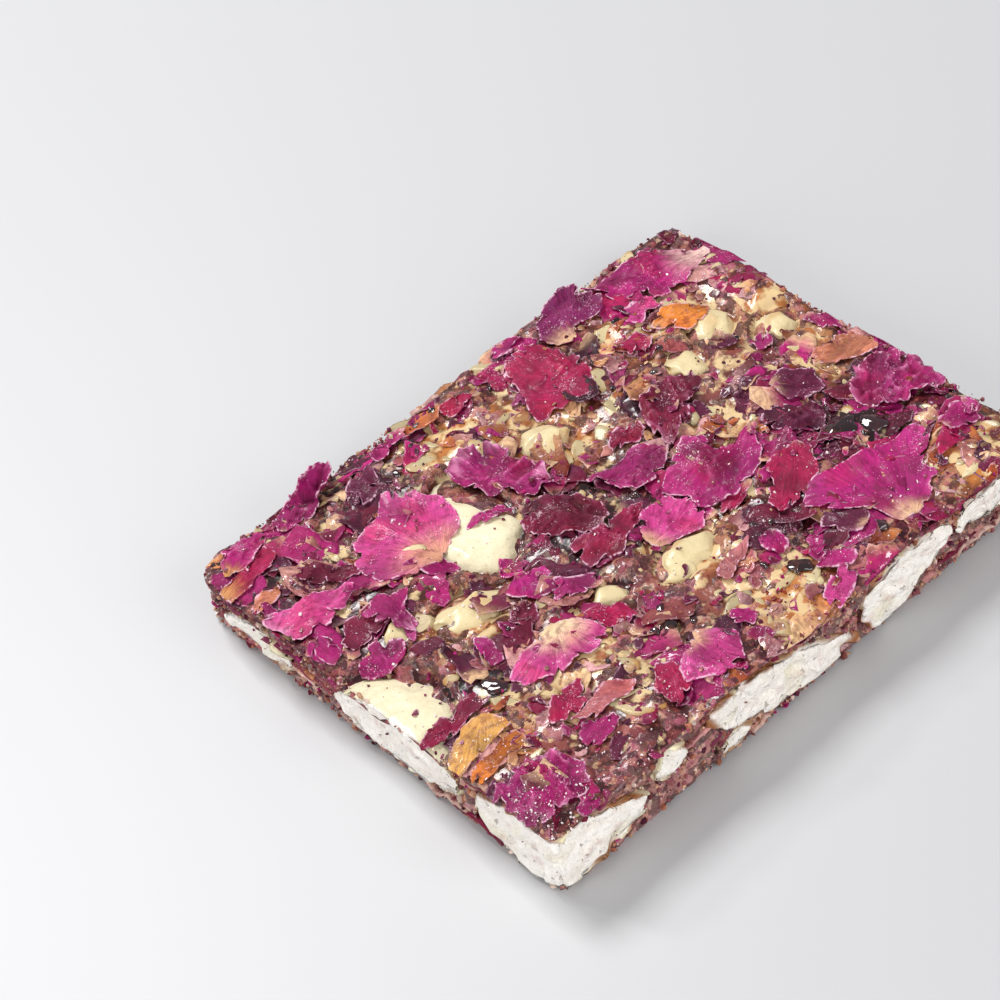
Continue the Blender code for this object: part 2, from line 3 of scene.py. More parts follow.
import bmesh
import bpy
import numpy as np
from mathutils import Matrix, Vector, noise
from mathutils.bvhtree import BVHTree


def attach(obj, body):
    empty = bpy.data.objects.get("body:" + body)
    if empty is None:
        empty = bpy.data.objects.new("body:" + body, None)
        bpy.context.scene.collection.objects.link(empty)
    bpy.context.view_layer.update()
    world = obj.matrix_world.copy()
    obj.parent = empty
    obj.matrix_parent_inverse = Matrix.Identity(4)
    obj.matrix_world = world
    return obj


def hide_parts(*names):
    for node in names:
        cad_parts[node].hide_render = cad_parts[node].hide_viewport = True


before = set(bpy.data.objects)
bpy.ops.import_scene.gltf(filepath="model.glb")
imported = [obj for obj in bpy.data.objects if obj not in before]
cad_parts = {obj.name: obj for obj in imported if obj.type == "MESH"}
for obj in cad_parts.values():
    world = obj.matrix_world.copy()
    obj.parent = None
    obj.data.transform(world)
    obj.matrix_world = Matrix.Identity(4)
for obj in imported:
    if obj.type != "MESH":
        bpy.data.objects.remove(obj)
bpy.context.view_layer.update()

# The sheet of brittle: boiled sugar packed with crushed petals and nut dust, rolled out thinner
# towards the far left and cut while warm. Its top is lumpy, its cut sides are ragged and its
# underside is flat from the tray. Sizes are millimetres until a mesh is made.
MM = 0.001
LENGTH = 66.0
WIDTH = 52.8
THICKNESS = 7.1
SLOPE_X = -0.6 / LENGTH
SLOPE_Y = -2.6 / WIDTH
CORNER_RADII = {(-1, -1): 1.2, (1, -1): 1.6, (-1, 1): 3.0, (1, 1): 4.0}
LUMP_SIZES = (7.5, 2.8)
LUMP_HEIGHTS = (1.1, 0.7)
RIM_FALL = 0.45
RIM_BAND = 1.3
RAGGED = 0.5
TOP_CELLS = (236, 188)
SIDE_ROWS = 26
AT_RIM = 0.499
UNDERSIDE_RINGS = (0.985, 0.96, 0.92, 0.86, 0.78, 0.68, 0.56, 0.42, 0.27, 0.12)
POCKET_DEPTH = 0.7
PROUD = 0.35
EXPOSED = 0.9
COVER_BAND = (-0.9, 0.1)
NUT_SINK = 0.3
RAGGED_AT_LEAST = 0.15
FOOT = 0.35
SIDE_BAND = (0.8, 2.0)
FAR_BELOW = -99.0

# Size, height and seed of each swelling in a relief
TOP_CRUMBS = ((1.1, 0.16, 11), (0.55, 0.12, 12))
SIDE_CRUMBS = ((2.3, 0.5, 13), (0.9, 0.5, 14), (0.5, 0.35, 15))
COVER_EDGE = ((2.4, 0.5, 17), (0.9, 0.25, 18))

# Zones of the top where the mix has another colour: centre x and y, radius and kind
ZONE_KINDS = ("tan", "dark", "dusty")
ZONES = (
    (-4.0, 19.4, 4.5, "tan"), (20.5, 14.0, 6.0, "tan"), (28.0, 7.4, 4.5, "tan"),
    (14.5, -0.8, 3.0, "tan"), (-19.5, -0.6, 4.0, "tan"), (-15.0, -14.6, 4.5, "tan"),
    (1.0, -18.6, 3.6, "tan"), (1.5, -24.0, 3.0, "tan"), (-28.0, -13.6, 4.0, "tan"),
    (26.5, -22.0, 4.0, "tan"), (3.5, 12.0, 4.5, "tan"), (-22.0, 19.0, 3.0, "tan"),
    (0.5, -11.5, 4.0, "tan"), (26.0, 0.5, 4.0, "tan"),
    (-24.0, -7.4, 3.6, "dark"), (21.5, -12.0, 4.2, "dark"), (-1.5, 0.0, 5.0, "dark"),
    (16.0, 6.0, 3.6, "dark"), (-16.0, 23.0, 5.0, "dark"), (6.0, -15.0, 3.0, "dark"),
    (-10.0, -15.4, 2.5, "dark"), (-26.0, 13.6, 4.0, "dark"),
    (-26.0, -20.0, 5.0, "dusty"), (-4.0, -15.0, 4.0, "dusty"), (-14.5, -20.6, 4.5, "dusty"),
    (12.0, 10.6, 4.0, "dusty"), (22.0, 3.0, 5.0, "dusty"), (28.5, 15.6, 3.5, "dusty"),
)

# Name, centre x and y, depth of the centre below the top, length, width, thickness,
# heading and pitch in degrees, and whether the nut is halved with its flat side up
ALMONDS = (
    ("almond_near_left_corner", -30.4, -23.3, 4.3, 20.0, 16.0, 7.6, -14, 0, False),
    ("almond_near_small", -17.9, -25.2, 2.4, 5.4, 4.6, 3.4, 10, 0, False),
    ("almond_near_long", -3.7, -25.0, 4.2, 21.4, 11.0, 6.0, 0, -15, False),
    ("almond_near_chip", -10.6, -25.6, 6.5, 5.0, 4.0, 2.0, 0, 0, False),
    ("almond_near_middle", 13.0, -25.2, 3.9, 14.0, 10.0, 6.4, 4, 15, False),
    ("almond_near_right", 25.2, -25.0, 3.0, 10.0, 8.0, 4.2, -6, 0, False),
    ("almond_left_far", -32.2, 16.6, 3.4, 11.0, 7.0, 3.6, 90, 0, False),
    ("almond_left_long", -32.0, -3.8, 3.3, 19.0, 13.0, 6.6, 90, 0, True),
    ("almond_top_large", -10.8, 9.8, 1.6, 15.5, 10.0, 4.6, 70, 0, True),
    ("almond_top_amber", -18.6, 0.6, 1.4, 9.5, 6.2, 4.0, 4, 0, False),
    ("almond_top_cream", 2.6, 12.4, 1.2, 6.6, 5.0, 3.4, -12, 0, False),
    ("almond_top_slice", 18.5, 9.0, 1.2, 6.4, 4.4, 3.6, 78, 0, False),
    ("almond_top_round", 24.2, 10.8, 1.4, 6.6, 5.6, 3.8, -24, 0, False),
    ("almond_top_right", 28.6, 5.9, 1.5, 8.0, 5.0, 3.6, 34, 0, False),
    ("almond_top_middle", -0.2, -10.2, 1.3, 9.0, 5.0, 3.6, 12, 0, False),
    ("almond_top_bead", -8.8, -8.6, 1.0, 5.2, 3.6, 2.8, -8, 0, False),
    ("almond_far_left", -20.5, 25.6, 3.4, 13.0, 8.0, 3.8, 2, 6, False),
    ("almond_far_middle", 2.6, 24.8, 2.6, 11.5, 7.0, 4.4, 4, 0, False),
    ("almond_far_right", 19.5, 25.4, 3.2, 12.0, 8.0, 3.8, -4, -8, False),
    ("almond_right_far", 32.2, 15.6, 3.3, 12.5, 8.0, 3.8, 88, 5, False),
    ("almond_right_middle", 32.0, -4.6, 3.8, 12.0, 9.0, 4.2, 92, -6, False),
    ("almond_right_near", 32.2, -16.2, 3.6, 8.5, 7.0, 4.2, 86, 0, False),
)
TAPER = 0.2
TIP = 0.25
LATTICE_SIZE = 48
lattices = {}


def rgb(red, green, blue):
    """A colour read from 0 to 255, as the linear values that a shader takes."""
    value = np.array([red, green, blue]) / 255
    return np.where(value <= 0.04045, value / 12.92, ((value + 0.055) / 1.055) ** 2.4)


def fade(value, start, end):
    """A soft step from 0 at start to 1 at end."""
    share = np.clip((np.asarray(value, float) - start) / (end - start), 0, 1)
    return share * share * (3 - 2 * share)


def swell(points, size, seed):
    """Soft random swelling from -1 to 1 over points, with features this far apart."""
    if seed not in lattices:
        draw = np.random.default_rng(seed)
        lattices[seed] = draw.uniform(-1, 1, (LATTICE_SIZE,) * 3)
    scaled = np.asarray(points, float) / size
    if scaled.shape[-1] == 2:
        scaled = np.concatenate([scaled, np.full(scaled.shape[:-1] + (1,), seed % 7)], -1)
    whole = np.floor(scaled).astype(int)
    part = scaled - whole
    part = part * part * (3 - 2 * part)
    total = np.zeros(scaled.shape[:-1])
    for corner in np.ndindex(2, 2, 2):
        index = (whole + corner) % LATTICE_SIZE
        weight = np.prod(np.where(corner, part, 1 - part), -1)
        total += lattices[seed][index[..., 0], index[..., 1], index[..., 2]] * weight
    return total


def swells(points, relief):
    """Several swellings added up, each a size, a height and a seed."""
    return sum(height * swell(points, size, seed) for size, height, seed in relief)


def top_plane(x, y):
    return THICKNESS + SLOPE_X * x + SLOPE_Y * y


def lumps(x, y):
    """The low swellings of the rolled top, one place at a time."""
    return sum(
        height * noise.noise(Vector((x / size, y / size, size)))
        for size, height in zip(LUMP_SIZES, LUMP_HEIGHTS)
    )


def almond_place(almond):
    _, x, y, depth, _, _, _, heading, pitch, _ = almond
    return (
        Matrix.Translation((x, y, top_plane(x, y) - depth))
        @ Matrix.Rotation(math.radians(heading), 4, "Z")
        @ Matrix.Rotation(math.radians(-pitch), 4, "Y")
    )


def fullness(forward):
    """How full an almond is at a place from -1 at its blunt end to 1 at its tip."""
    forward = np.clip(forward, -1, 1)
    return (1 - TAPER * forward) * (1 - TIP * np.maximum(forward, 0) ** 2)


def depth_in_almond(points, almond):
    """For each point: 0 at the nut's middle, 1 on its skin and more outside."""
    _, _, _, _, length, width, thickness, _, _, _ = almond
    inverse = np.array(almond_place(almond).inverted())
    local = points @ inverse[:3, :3].T + inverse[:3, 3]
    forward = local[..., 0] / (length / 2)
    full = fullness(forward)
    across = local[..., 1] / (width / 2 * full)
    up = local[..., 2] / (thickness / 2 * full)
    return np.sqrt(forward**2 + across**2 + up**2)


def depth_in_nuts(points):
    return np.min([depth_in_almond(points, almond) for almond in ALMONDS], axis=0)


def round_corners(x, y):
    """Brings the points of the rectangle inside its rounded corners."""
    for (side_x, side_y), radius in CORNER_RADII.items():
        from_x = x * side_x - (LENGTH / 2 - radius)
        from_y = y * side_y - (WIDTH / 2 - radius)
        reach = np.hypot(from_x, from_y)
        out = (from_x > 0) & (from_y > 0) & (reach > radius)
        shrink = np.where(out, radius / np.maximum(reach, 1e-9), 1)
        x = np.where(out, side_x * (LENGTH / 2 - radius + from_x * shrink), x)
        y = np.where(out, side_y * (WIDTH / 2 - radius + from_y * shrink), y)
    return x, y


def on_slab(x, y, inset):
    """Whether points are on the slab's top, at least this far inside its rim."""
    x, y = x + np.copysign(inset, x), y + np.copysign(inset, y)
    round_x, round_y = round_corners(x, y)
    whole = np.hypot(round_x - x, round_y - y) == 0
    return whole & (np.abs(x) < LENGTH / 2) & (np.abs(y) < WIDTH / 2)


def top_heights(x, y):
    """The lumpy top with its crumbs, and the hollows in which the nuts sit."""
    coarse = np.array([lumps(a, b) for a, b in zip(x.ravel(), y.ravel())]).reshape(x.shape)
    flat = np.stack([x, y], -1)
    inside = np.minimum(LENGTH / 2 - np.abs(x), WIDTH / 2 - np.abs(y))
    height = top_plane(x, y) + coarse + swells(flat, TOP_CRUMBS)
    height -= RIM_FALL * np.maximum(0, 1 - inside / RIM_BAND)
    nuts = nut_tops(x, y)
    cover = EXPOSED + swells(flat, COVER_EDGE)
    shows = fade(nuts - top_plane(x, y) + cover, *COVER_BAND)
    return height - shows * np.maximum(height - nuts + NUT_SINK, 0)


def nut_tops(x, y):
    """The height of the nuts' upper skins; far below where there is none."""
    tops = np.full(np.shape(x), FAR_BELOW)
    for almond in ALMONDS:
        name, nut_x, nut_y, depth, length, width, thickness, heading, _, halved = almond
        if not (halved or name.startswith("almond_top")):
            continue
        c, s = math.cos(math.radians(heading)), math.sin(math.radians(heading))
        forward = ((x - nut_x) * c + (y - nut_y) * s) / (length / 2)
        full = fullness(forward)
        across = ((y - nut_y) * c - (x - nut_x) * s) / (width / 2 * full)
        inside = 1 - forward**2 - across**2
        top = top_plane(nut_x, nut_y) - depth + thickness / 2 * full * np.sqrt(
            np.maximum(inside, 0))
        if halved:
            top = np.minimum(top, top_plane(nut_x, nut_y) + PROUD)
        tops = np.where(inside > 0, np.maximum(tops, top), tops)
    return tops


def mesh_from(name, points, quads, triangles=()):
    """A mesh in metres from arrays in millimetres."""
    mesh = bpy.data.meshes.new(name)
    quads = np.asarray(quads, np.int32).reshape(-1, 4)
    triangles = np.asarray(triangles, np.int32).reshape(-1, 3)
    corners = np.concatenate([quads.ravel(), triangles.ravel()])
    sizes = np.concatenate([np.full(len(quads), 4), np.full(len(triangles), 3)])
    mesh.vertices.add(len(points))
    mesh.vertices.foreach_set("co", (np.asarray(points) * MM).astype(np.float32).ravel())
    mesh.loops.add(len(corners))
    mesh.loops.foreach_set("vertex_index", corners.astype(np.int32))
    mesh.polygons.add(len(sizes))
    mesh.polygons.foreach_set("loop_start", (np.cumsum(sizes) - sizes).astype(np.int32))
    mesh.update(calc_edges=True)
    mesh.validate()
    mesh.shade_smooth()
    return mesh


def add_piece(name, mesh, finish, slot, tints, stands_for=(), **numbers):
    """A piece of the sweet, with a colour and other numbers for each of its points."""
    layer = mesh.attributes.new("tint", "FLOAT_COLOR", "POINT")
    solid = np.concatenate([tints, np.ones((len(tints), 1))], 1)
    layer.data.foreach_set("color", solid.astype(np.float32).ravel())
    for key, values in numbers.items():
        flat = np.asarray(values, np.float32)
        layer = mesh.attributes.new(key, "FLOAT_VECTOR" if flat.ndim == 2 else "FLOAT", "POINT")
        layer.data.foreach_set("vector" if flat.ndim == 2 else "value", flat.ravel())
    piece = bpy.data.objects.new(name, mesh)
    bpy.context.scene.collection.objects.link(piece)
    mesh.materials.append(finish)
    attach(piece, "root")
    if stands_for:
        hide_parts(*stands_for)


MIX_COLOUR = rgb(124, 45, 58)
SIDE_COLOUR = rgb(198, 146, 140)
ZONE_WANDER_SIZE = 3.0
ZONE_WANDER = 0.8
ZONE_COLOURS = (rgb(196, 138, 92), rgb(58, 22, 32), rgb(158, 96, 102))
ZONE_STRENGTH = 1.3
ZONE_SPREAD = 1.15
CRUMB_DARK = rgb(44, 10, 20)
CRUMB_SUGAR = rgb(225, 205, 195)
CRUMB_PALETTE = (
    (0.0, rgb(52, 16, 24)), (0.2, rgb(118, 40, 52)), (0.36, rgb(150, 84, 70)),
    (0.52, rgb(182, 122, 88)), (0.62, rgb(212, 172, 128)), (0.7, rgb(150, 30, 84)),
    (0.9, rgb(198, 132, 134)), (1.0, rgb(232, 206, 170)),
)


class Value:
    """A shader socket. The usual signs on it add the Math nodes of an expression."""

    def __init__(self, recipe, link):
        self.recipe = recipe
        self.link = link

    def math(self, operation, first, second):
        return self.recipe.node("Math", {"operation": operation}, {0: first, 1: second})

    def __add__(self, other):
        return self.math("ADD", self, other)

    def __sub__(self, other):
        return self.math("SUBTRACT", self, other)

    def __rsub__(self, other):
        return self.math("SUBTRACT", other, self)

    def __mul__(self, other):
        return self.math("MULTIPLY", self, other)

    __radd__ = __add__
    __rmul__ = __mul__


class Recipe:
    """A material and the nodes that are added to it."""

    def __init__(self, name, **constants):
        self.material = bpy.data.materials.new(name)
        self.material.use_nodes = True
        self.tree = self.material.node_tree
        self.shader = self.tree.nodes["Principled BSDF"]
        for key, value in constants.items():
            self.shader.inputs[key.replace("_", " ")].default_value = value

    def node(self, kind, settings, inputs, output=0):
        """Any node: its settings first, then the values or links of its sockets."""
        node = self.tree.nodes.new("ShaderNode" + kind)
        for key, value in settings.items():
            if key == "stops":
                ramp = node.color_ramp.elements
                while len(ramp) < len(value):
                    ramp.new(1.0)
                for element, (place, colour) in zip(ramp, value):
                    element.position = place
                    element.color = (*colour, 1.0)
            else:
                setattr(node, key, value)
        for key, value in inputs.items():
            if isinstance(value, Value):
                self.tree.links.new(value.link, node.inputs[key])
            else:
                node.inputs[key].default_value = value
        return Value(self, node.outputs[output])

    def grain(self, size, detail=2.0, place=None, kind="TexNoise", output=0):
        """Noise or cells whose features are this many millimetres apart."""
        place = place or self.node("NewGeometry", {}, {})
        sockets = {"Vector": place, "Scale": 1 / (size * MM)}
        if kind == "TexNoise":
            sockets["Detail"] = detail
        return self.node(kind, {}, sockets, output)

    def step(self, value, start, end):
        """A soft step from 0 at start to 1 at end."""
        settings = {"interpolation_type": "SMOOTHSTEP"}
        return self.node("MapRange", settings, {"Value": value, "From Min": start, "From Max": end})

    def mix(self, factor, first, second, blend="MIX"):
        settings = {"data_type": "RGBA", "blend_type": blend}
        return self.node("Mix", settings, {0: factor, 6: first, 7: second}, 2)

    def attribute(self, name, output=0):
        return self.node("Attribute", {"attribute_name": name}, {}, output)

    def feed(self, **sockets):
        for key, value in sockets.items():
            self.tree.links.new(value.link, self.shader.inputs[key.replace("_", " ")])
        return self.material

    def bumps(self, height, distance):
        return self.node("Bump", {}, {"Height": height, "Distance": distance * MM})


def opaque(colour):
    return (*colour, 1.0)


def brittle_finish():
    """Dark glazed crumb: cells of plum, brown, tan and dusty pink under a coat of sugar."""
    r = Recipe("brittle crumb", Coat_Roughness=0.12, Specular_IOR_Level=0.4)
    place = r.node("NewGeometry", {}, {})
    warp = r.grain(1.3, 3.0, place, output=1)
    bent = r.node("VectorMath", {"operation": "SCALE"}, {0: warp, "Scale": 1.6 * MM})
    bent = r.node("VectorMath", {"operation": "ADD"}, {0: place, 1: bent})
    cells = r.grain(0.75, place=bent, kind="TexVoronoi", output=1)
    pick = r.node("SeparateColor", {}, {0: cells})
    palette = r.node("ValToRGB", {"stops": CRUMB_PALETTE}, {0: pick})
    colour = r.mix(0.5, palette, r.attribute("tint"))
    dark = r.step(r.grain(1.2, 4.0, place), 0.46, 0.54)
    colour = r.mix(dark * 0.7, colour, opaque(CRUMB_DARK))
    speck = r.step(r.grain(0.22, 1.0, place), 0.68, 0.74)
    colour = r.mix(speck * 0.4, colour, opaque(CRUMB_SUGAR))
    relief = r.grain(0.45, 4.0, place) + r.grain(1.7, 2.0, place) * 0.6
    wet = r.step(r.grain(2.6, 2.0, place), 0.42, 0.6)
    return r.feed(
        Base_Color=colour,
        Roughness=0.6 - wet * 0.3,
        Coat_Weight=wet * 0.6,
        Normal=r.bumps(relief, 0.3),
    )


def zone_shares(x, y):
    """How tan, dark and dusty the mix is at each place; the rest of it is magenta."""
    shares = np.zeros(np.shape(x) + (3,))
    for zone_x, zone_y, radius, kind in ZONES:
        away = (x - zone_x) ** 2 + (y - zone_y) ** 2
        near = np.exp(-away / (ZONE_SPREAD * radius) ** 2)
        shares[..., ZONE_KINDS.index(kind)] += ZONE_STRENGTH * near
    wander = swell(np.stack([x, y], -1), ZONE_WANDER_SIZE, 16)[..., None]
    return np.clip(shares * (1 + ZONE_WANDER * wander), 0, 1)


def zone_tint(points):
    """The colour of the mix under the petals, blended from the zones."""
    shares = zone_shares(points[:, 0], points[:, 1])
    tint = np.tile(MIX_COLOUR, (len(points), 1))
    for share, colour in zip(np.moveaxis(shares, -1, 0), ZONE_COLOURS):
        tint = tint + (colour - tint) * share[:, None]
    return tint


def next_ring(last, count):
    """The numbers of a new ring of points, and the faces between it and the last ring."""
    new = count + np.arange(len(last))
    return new, np.stack([last, new, np.roll(new, -1), np.roll(last, -1)], -1)


def make_brittle():
    """One closed mesh: a grid for the top, rings down the sides and rings in to the middle."""
    u, v = np.meshgrid(*[np.linspace(-0.5, 0.5, cells + 1) for cells in TOP_CELLS], indexing="ij")
    x, y = round_corners(u * LENGTH, v * WIDTH)
    top = np.stack([x, y, top_heights(x, y)], -1)
    index = np.arange(top[..., 0].size).reshape(x.shape)
    quads = [np.stack([index[:-1, :-1], index[1:, :-1], index[1:, 1:], index[:-1, 1:]], -1)]
    around = np.concatenate([
        index[:-1, 0], index[-1, :-1], index[:0:-1, -1], index[0, :0:-1]])
    rim = top.reshape(-1, 3)[around]
    on_x = np.abs(u).reshape(-1)[around] > AT_RIM
    on_y = np.abs(v).reshape(-1)[around] > AT_RIM
    points = [top.reshape(-1, 3)]
    last = around
    count = top[..., 0].size
    for row in range(1, SIDE_ROWS + 1):
        ring = rim * [1, 1, 1 - row / SIDE_ROWS]
        crumbs = 0.5 + swells(ring, SIDE_CRUMBS)
        nuts = fade(depth_in_nuts(ring), 1.06, 0.94)
        back = RAGGED * (RAGGED_AT_LEAST + np.clip(crumbs, 0, 1.4)) + POCKET_DEPTH * nuts
        back += FOOT * fade(row / SIDE_ROWS, 0.9, 1.0)
        back *= fade(row, 0, 3)
        ring[:, 0] -= np.where(on_x, np.sign(ring[:, 0]) * back, 0)
        ring[:, 1] -= np.where(on_y, np.sign(ring[:, 1]) * back, 0)
        last, faces = next_ring(last, count)
        quads.append(faces)
        points.append(ring)
        count += len(ring)
    for share in UNDERSIDE_RINGS:
        last, faces = next_ring(last, count)
        quads.append(faces)
        points.append(points[SIDE_ROWS] * [share, share, 0])
        count += len(last)
    points.append(np.zeros((1, 3)))
    fan = np.stack([last, np.full(len(last), count), np.roll(last, -1)], -1)
    points = np.concatenate(points)
    quads = np.concatenate([faces.reshape(-1, 4) for faces in quads])
    mesh = mesh_from("brittle_sheet", points, quads, fan)
    below = fade(top_plane(points[:, 0], points[:, 1]) - points[:, 2], *SIDE_BAND)[:, None]
    tints = zone_tint(points) * (1 - below) + SIDE_COLOUR * below
    add_piece("brittle_sheet", mesh, brittle_finish(), "sugar_brittle", tints, ["brittle"])


make_brittle()


# The ground: the height of whatever lies topmost at each place, kept up to date as the sweet is
# covered, so that each nut, flake and petal rests on what is already there.
GROUND_STEP = 0.15
GROUND_MARGIN = 3.0


def blurred(heights, size):
    """Heights of the ground smoothed over this many millimetres."""
    wide = max(1, int(round(2.5 * size / GROUND_STEP)))
    weights = np.exp(-0.5 * (np.arange(-wide, wide + 1) * GROUND_STEP / size) ** 2)
    weights /= weights.sum()
    for axis in (0, 1):
        heights = sum(
            w * np.roll(heights, s, axis) for s, w in zip(range(-wide, wide + 1), weights))
    return heights


class Ground:
    def __init__(self):
        self.low = np.array([-LENGTH / 2 - GROUND_MARGIN, -WIDTH / 2 - GROUND_MARGIN])
        size = (np.array([LENGTH, WIDTH]) + 2 * GROUND_MARGIN) / GROUND_STEP
        self.x, self.y = np.meshgrid(
            *[low + GROUND_STEP * np.arange(int(n)) for low, n in zip(self.low, size)],
            indexing="ij")
        inside_x = np.clip(self.x, -LENGTH / 2, LENGTH / 2)
        inside_y = np.clip(self.y, -WIDTH / 2, WIDTH / 2)
        self.heights = top_heights(inside_x, inside_y)
        self.covered = np.zeros(self.x.shape, bool)

    def cells(self, x, y):
        i = np.clip(np.round((x - self.low[0]) / GROUND_STEP).astype(int), 0, self.x.shape[0] - 1)
        j = np.clip(np.round((y - self.low[1]) / GROUND_STEP).astype(int), 0, self.x.shape[1] - 1)
        return i, j

    def at(self, x, y):
        return self.heights[self.cells(x, y)]

    def lay(self, points, covers=False):
        """Takes in a cloud of points on the upper side of a new piece."""
        i, j = self.cells(points[..., 0].ravel(), points[..., 1].ravel())
        if covers:
            self.covered[i, j] = True
        np.maximum.at(self.heights, (i, j), points[..., 2].ravel())

    def rest(self, x, y, bridge, stiffness):
        """Heights for a sheet laid over the ground: it spans hollows and rounds steps off."""
        pad = int((bridge + 3 * stiffness) / GROUND_STEP) + 2
        i, j = self.cells(x, y)
        a = max(i.min() - pad, 0)
        b = max(j.min() - pad, 0)
        part = self.heights[a : i.max() + pad + 1, b : j.max() + pad + 1]
        reach = int(round(bridge / GROUND_STEP))
        for axis in (0, 1):
            part = np.max([np.roll(part, s, axis) for s in range(-reach, reach + 1)], axis=0)
        part = blurred(part, stiffness)
        return part[np.clip(i - a, 0, part.shape[0] - 1), np.clip(j - b, 0, part.shape[1] - 1)]


ground = Ground()


# The nuts: whole and halved almonds stirred into the sugar. Those at the sides were cut through
# with the slab and show chalky white faces with a line of brown skin; those in the top are cream
# under their coat of sugar.
NUT_SEGMENTS = (44, 22)
NUT_VOXEL = 0.24
CUT_BAND = 0.16
BLOCK_CORNER = 1.2
NUT_WHITE = rgb(255, 250, 243)
NUT_CREAM = rgb(230, 220, 186)
NUT_GLAZED = rgb(220, 202, 158)
NUT_AMBER = rgb(194, 142, 80)
NUT_SKIN = rgb(158, 98, 58)
NUT_HONEY = rgb(200, 172, 118)
NUT_SPECK = rgb(96, 34, 52)
NUT_SMEAR = rgb(206, 150, 152)
NUT_PIT_SHADE = rgb(186, 148, 124)
NUT_RELIEF = ((2.4, 0.12, 25), (0.9, 0.07, 26))
CUT_RELIEF = ((2.1, 0.42, 28), (0.8, 0.22, 29))
BENT_SIZES = ((2.6, 0.8), (1.1, 0.5))
BENT_HALVED = (0.6, 0.6, 0.08)
BENT_WHOLE = (1.0, 1.0, 0.3)
SCOOP_SIZE = 2.2
SCOOP_DEPTH = 0.5
FACETS = 10
FACET_INSETS = (0.72, 0.9)


def nut_finish(name):
    """Almond: chalky and cracked where it is cut, smooth under clear sugar elsewhere."""
    r = Recipe(name, Coat_Roughness=0.1, Specular_IOR_Level=0.35)
    place = r.node("NewGeometry", {}, {})
    cut = r.attribute("cut", 2)
    glazed = 1 - cut
    mottle = r.step(r.grain(1.3, 3.0, place), 0.4, 0.7)
    tint = r.mix(mottle * 0.14, r.attribute("tint"), opaque(NUT_HONEY))
    scrape = r.grain(0.35, 3.0, place)
    speck = r.step(r.grain(0.3, 1.0, place), 0.72, 0.76) * glazed
    tint = r.mix(speck * 0.6, tint, opaque(NUT_SPECK))
    smear = r.step(r.grain(2.2, 5.0, place), 0.54, 0.68) * cut
    tint = r.mix(smear * 0.3, tint, opaque(NUT_SMEAR))
    # Painted shade: small pits in the cut face are dented by the bump and also coloured darker,
    # where shade falls in them.
    pit = r.step(r.grain(1.0, 4.0, place), 0.64, 0.7) * cut
    tint = r.mix(pit * 0.3, tint, opaque(NUT_PIT_SHADE))
    relief = scrape * (cut * 0.8 + 0.2) + r.grain(1.1, 4.0, place) * (cut * 1.5 + 0.5) - pit
    return r.feed(
        Base_Color=tint,
        Roughness=cut * 0.35 + 0.4,
        Coat_Weight=glazed * 0.3,
        Normal=r.bumps(relief, 0.26),
    )


def cut_block():
    """The block that the knife leaves: nuts that reach a side are cut flush with it."""
    bm = bmesh.new()
    bmesh.ops.create_cube(bm, size=1.0)
    bmesh.ops.scale(bm, vec=(LENGTH, WIDTH, 4 * THICKNESS), verts=bm.verts[:])
    upright = [e for e in bm.edges if abs(e.verts[0].co.z - e.verts[1].co.z) > THICKNESS]
    bmesh.ops.bevel(bm, geom=upright, offset=BLOCK_CORNER, segments=6, affect="EDGES", profile=0.5)
    bmesh.ops.scale(bm, vec=(MM, MM, MM), verts=bm.verts[:])
    mesh = bpy.data.meshes.new("knife")
    bm.to_mesh(mesh)
    bm.free()
    knife = bpy.data.objects.new("knife", mesh)
    bpy.context.scene.collection.objects.link(knife)
    return knife


def nut_body(almond, knife):
    """The nut's fine mesh as points in millimetres, halved and cut as in the solid."""
    name, x, y, _, length, width, thickness, _, _, halved = almond
    bm = bmesh.new()
    bmesh.ops.create_uvsphere(
        bm, u_segments=NUT_SEGMENTS[0], v_segments=NUT_SEGMENTS[1], radius=1.0)
    place = almond_place(almond)
    draw = np.random.default_rng(int(10 * abs(x) + 100 * abs(y)))
    facets = draw.normal(size=(FACETS, 3))
    facets /= np.linalg.norm(facets, axis=1, keepdims=True)
    insets = draw.uniform(*FACET_INSETS, FACETS) if name.startswith("almond_top") else []
    for vertex in bm.verts:
        for facet, inset in zip(facets, insets):
            vertex.co -= Vector(facet) * max(vertex.co @ Vector(facet) - inset, 0)
        across, up, forward = vertex.co
        full = float(fullness(forward))
        point = place @ Vector((
            forward * length / 2, across * width / 2 * full, up * thickness / 2 * full))
        if halved:
            point.z = min(point.z, top_plane(x, y) + PROUD)
        vertex.co = point * MM
    mesh = bpy.data.meshes.new(name)
    bm.to_mesh(mesh)
    bm.free()
    body = bpy.data.objects.new(f"{name}_body", mesh)
    bpy.context.scene.collection.objects.link(body)
    cut = body.modifiers.new("knife", "BOOLEAN")
    cut.operation = "INTERSECT"
    cut.object = knife
    remesh = body.modifiers.new("even faces", "REMESH")
    remesh.mode = "VOXEL"
    remesh.voxel_size = NUT_VOXEL * MM
    smooth = body.modifiers.new("worn edges", "SMOOTH")
    smooth.iterations = 3
    made = bpy.data.meshes.new_from_object(
        body.evaluated_get(bpy.context.evaluated_depsgraph_get()))
    bpy.data.objects.remove(body)
    return made


def from_knife(points):
    """How far points lie inside the block that the knife left, round its corners too."""
    x, y = LENGTH / 2 - np.abs(points[:, 0]), WIDTH / 2 - np.abs(points[:, 1])
    in_corner = BLOCK_CORNER - np.hypot(BLOCK_CORNER - x, BLOCK_CORNER - y)
    return np.where((x < BLOCK_CORNER) & (y < BLOCK_CORNER), in_corner, np.minimum(x, y))


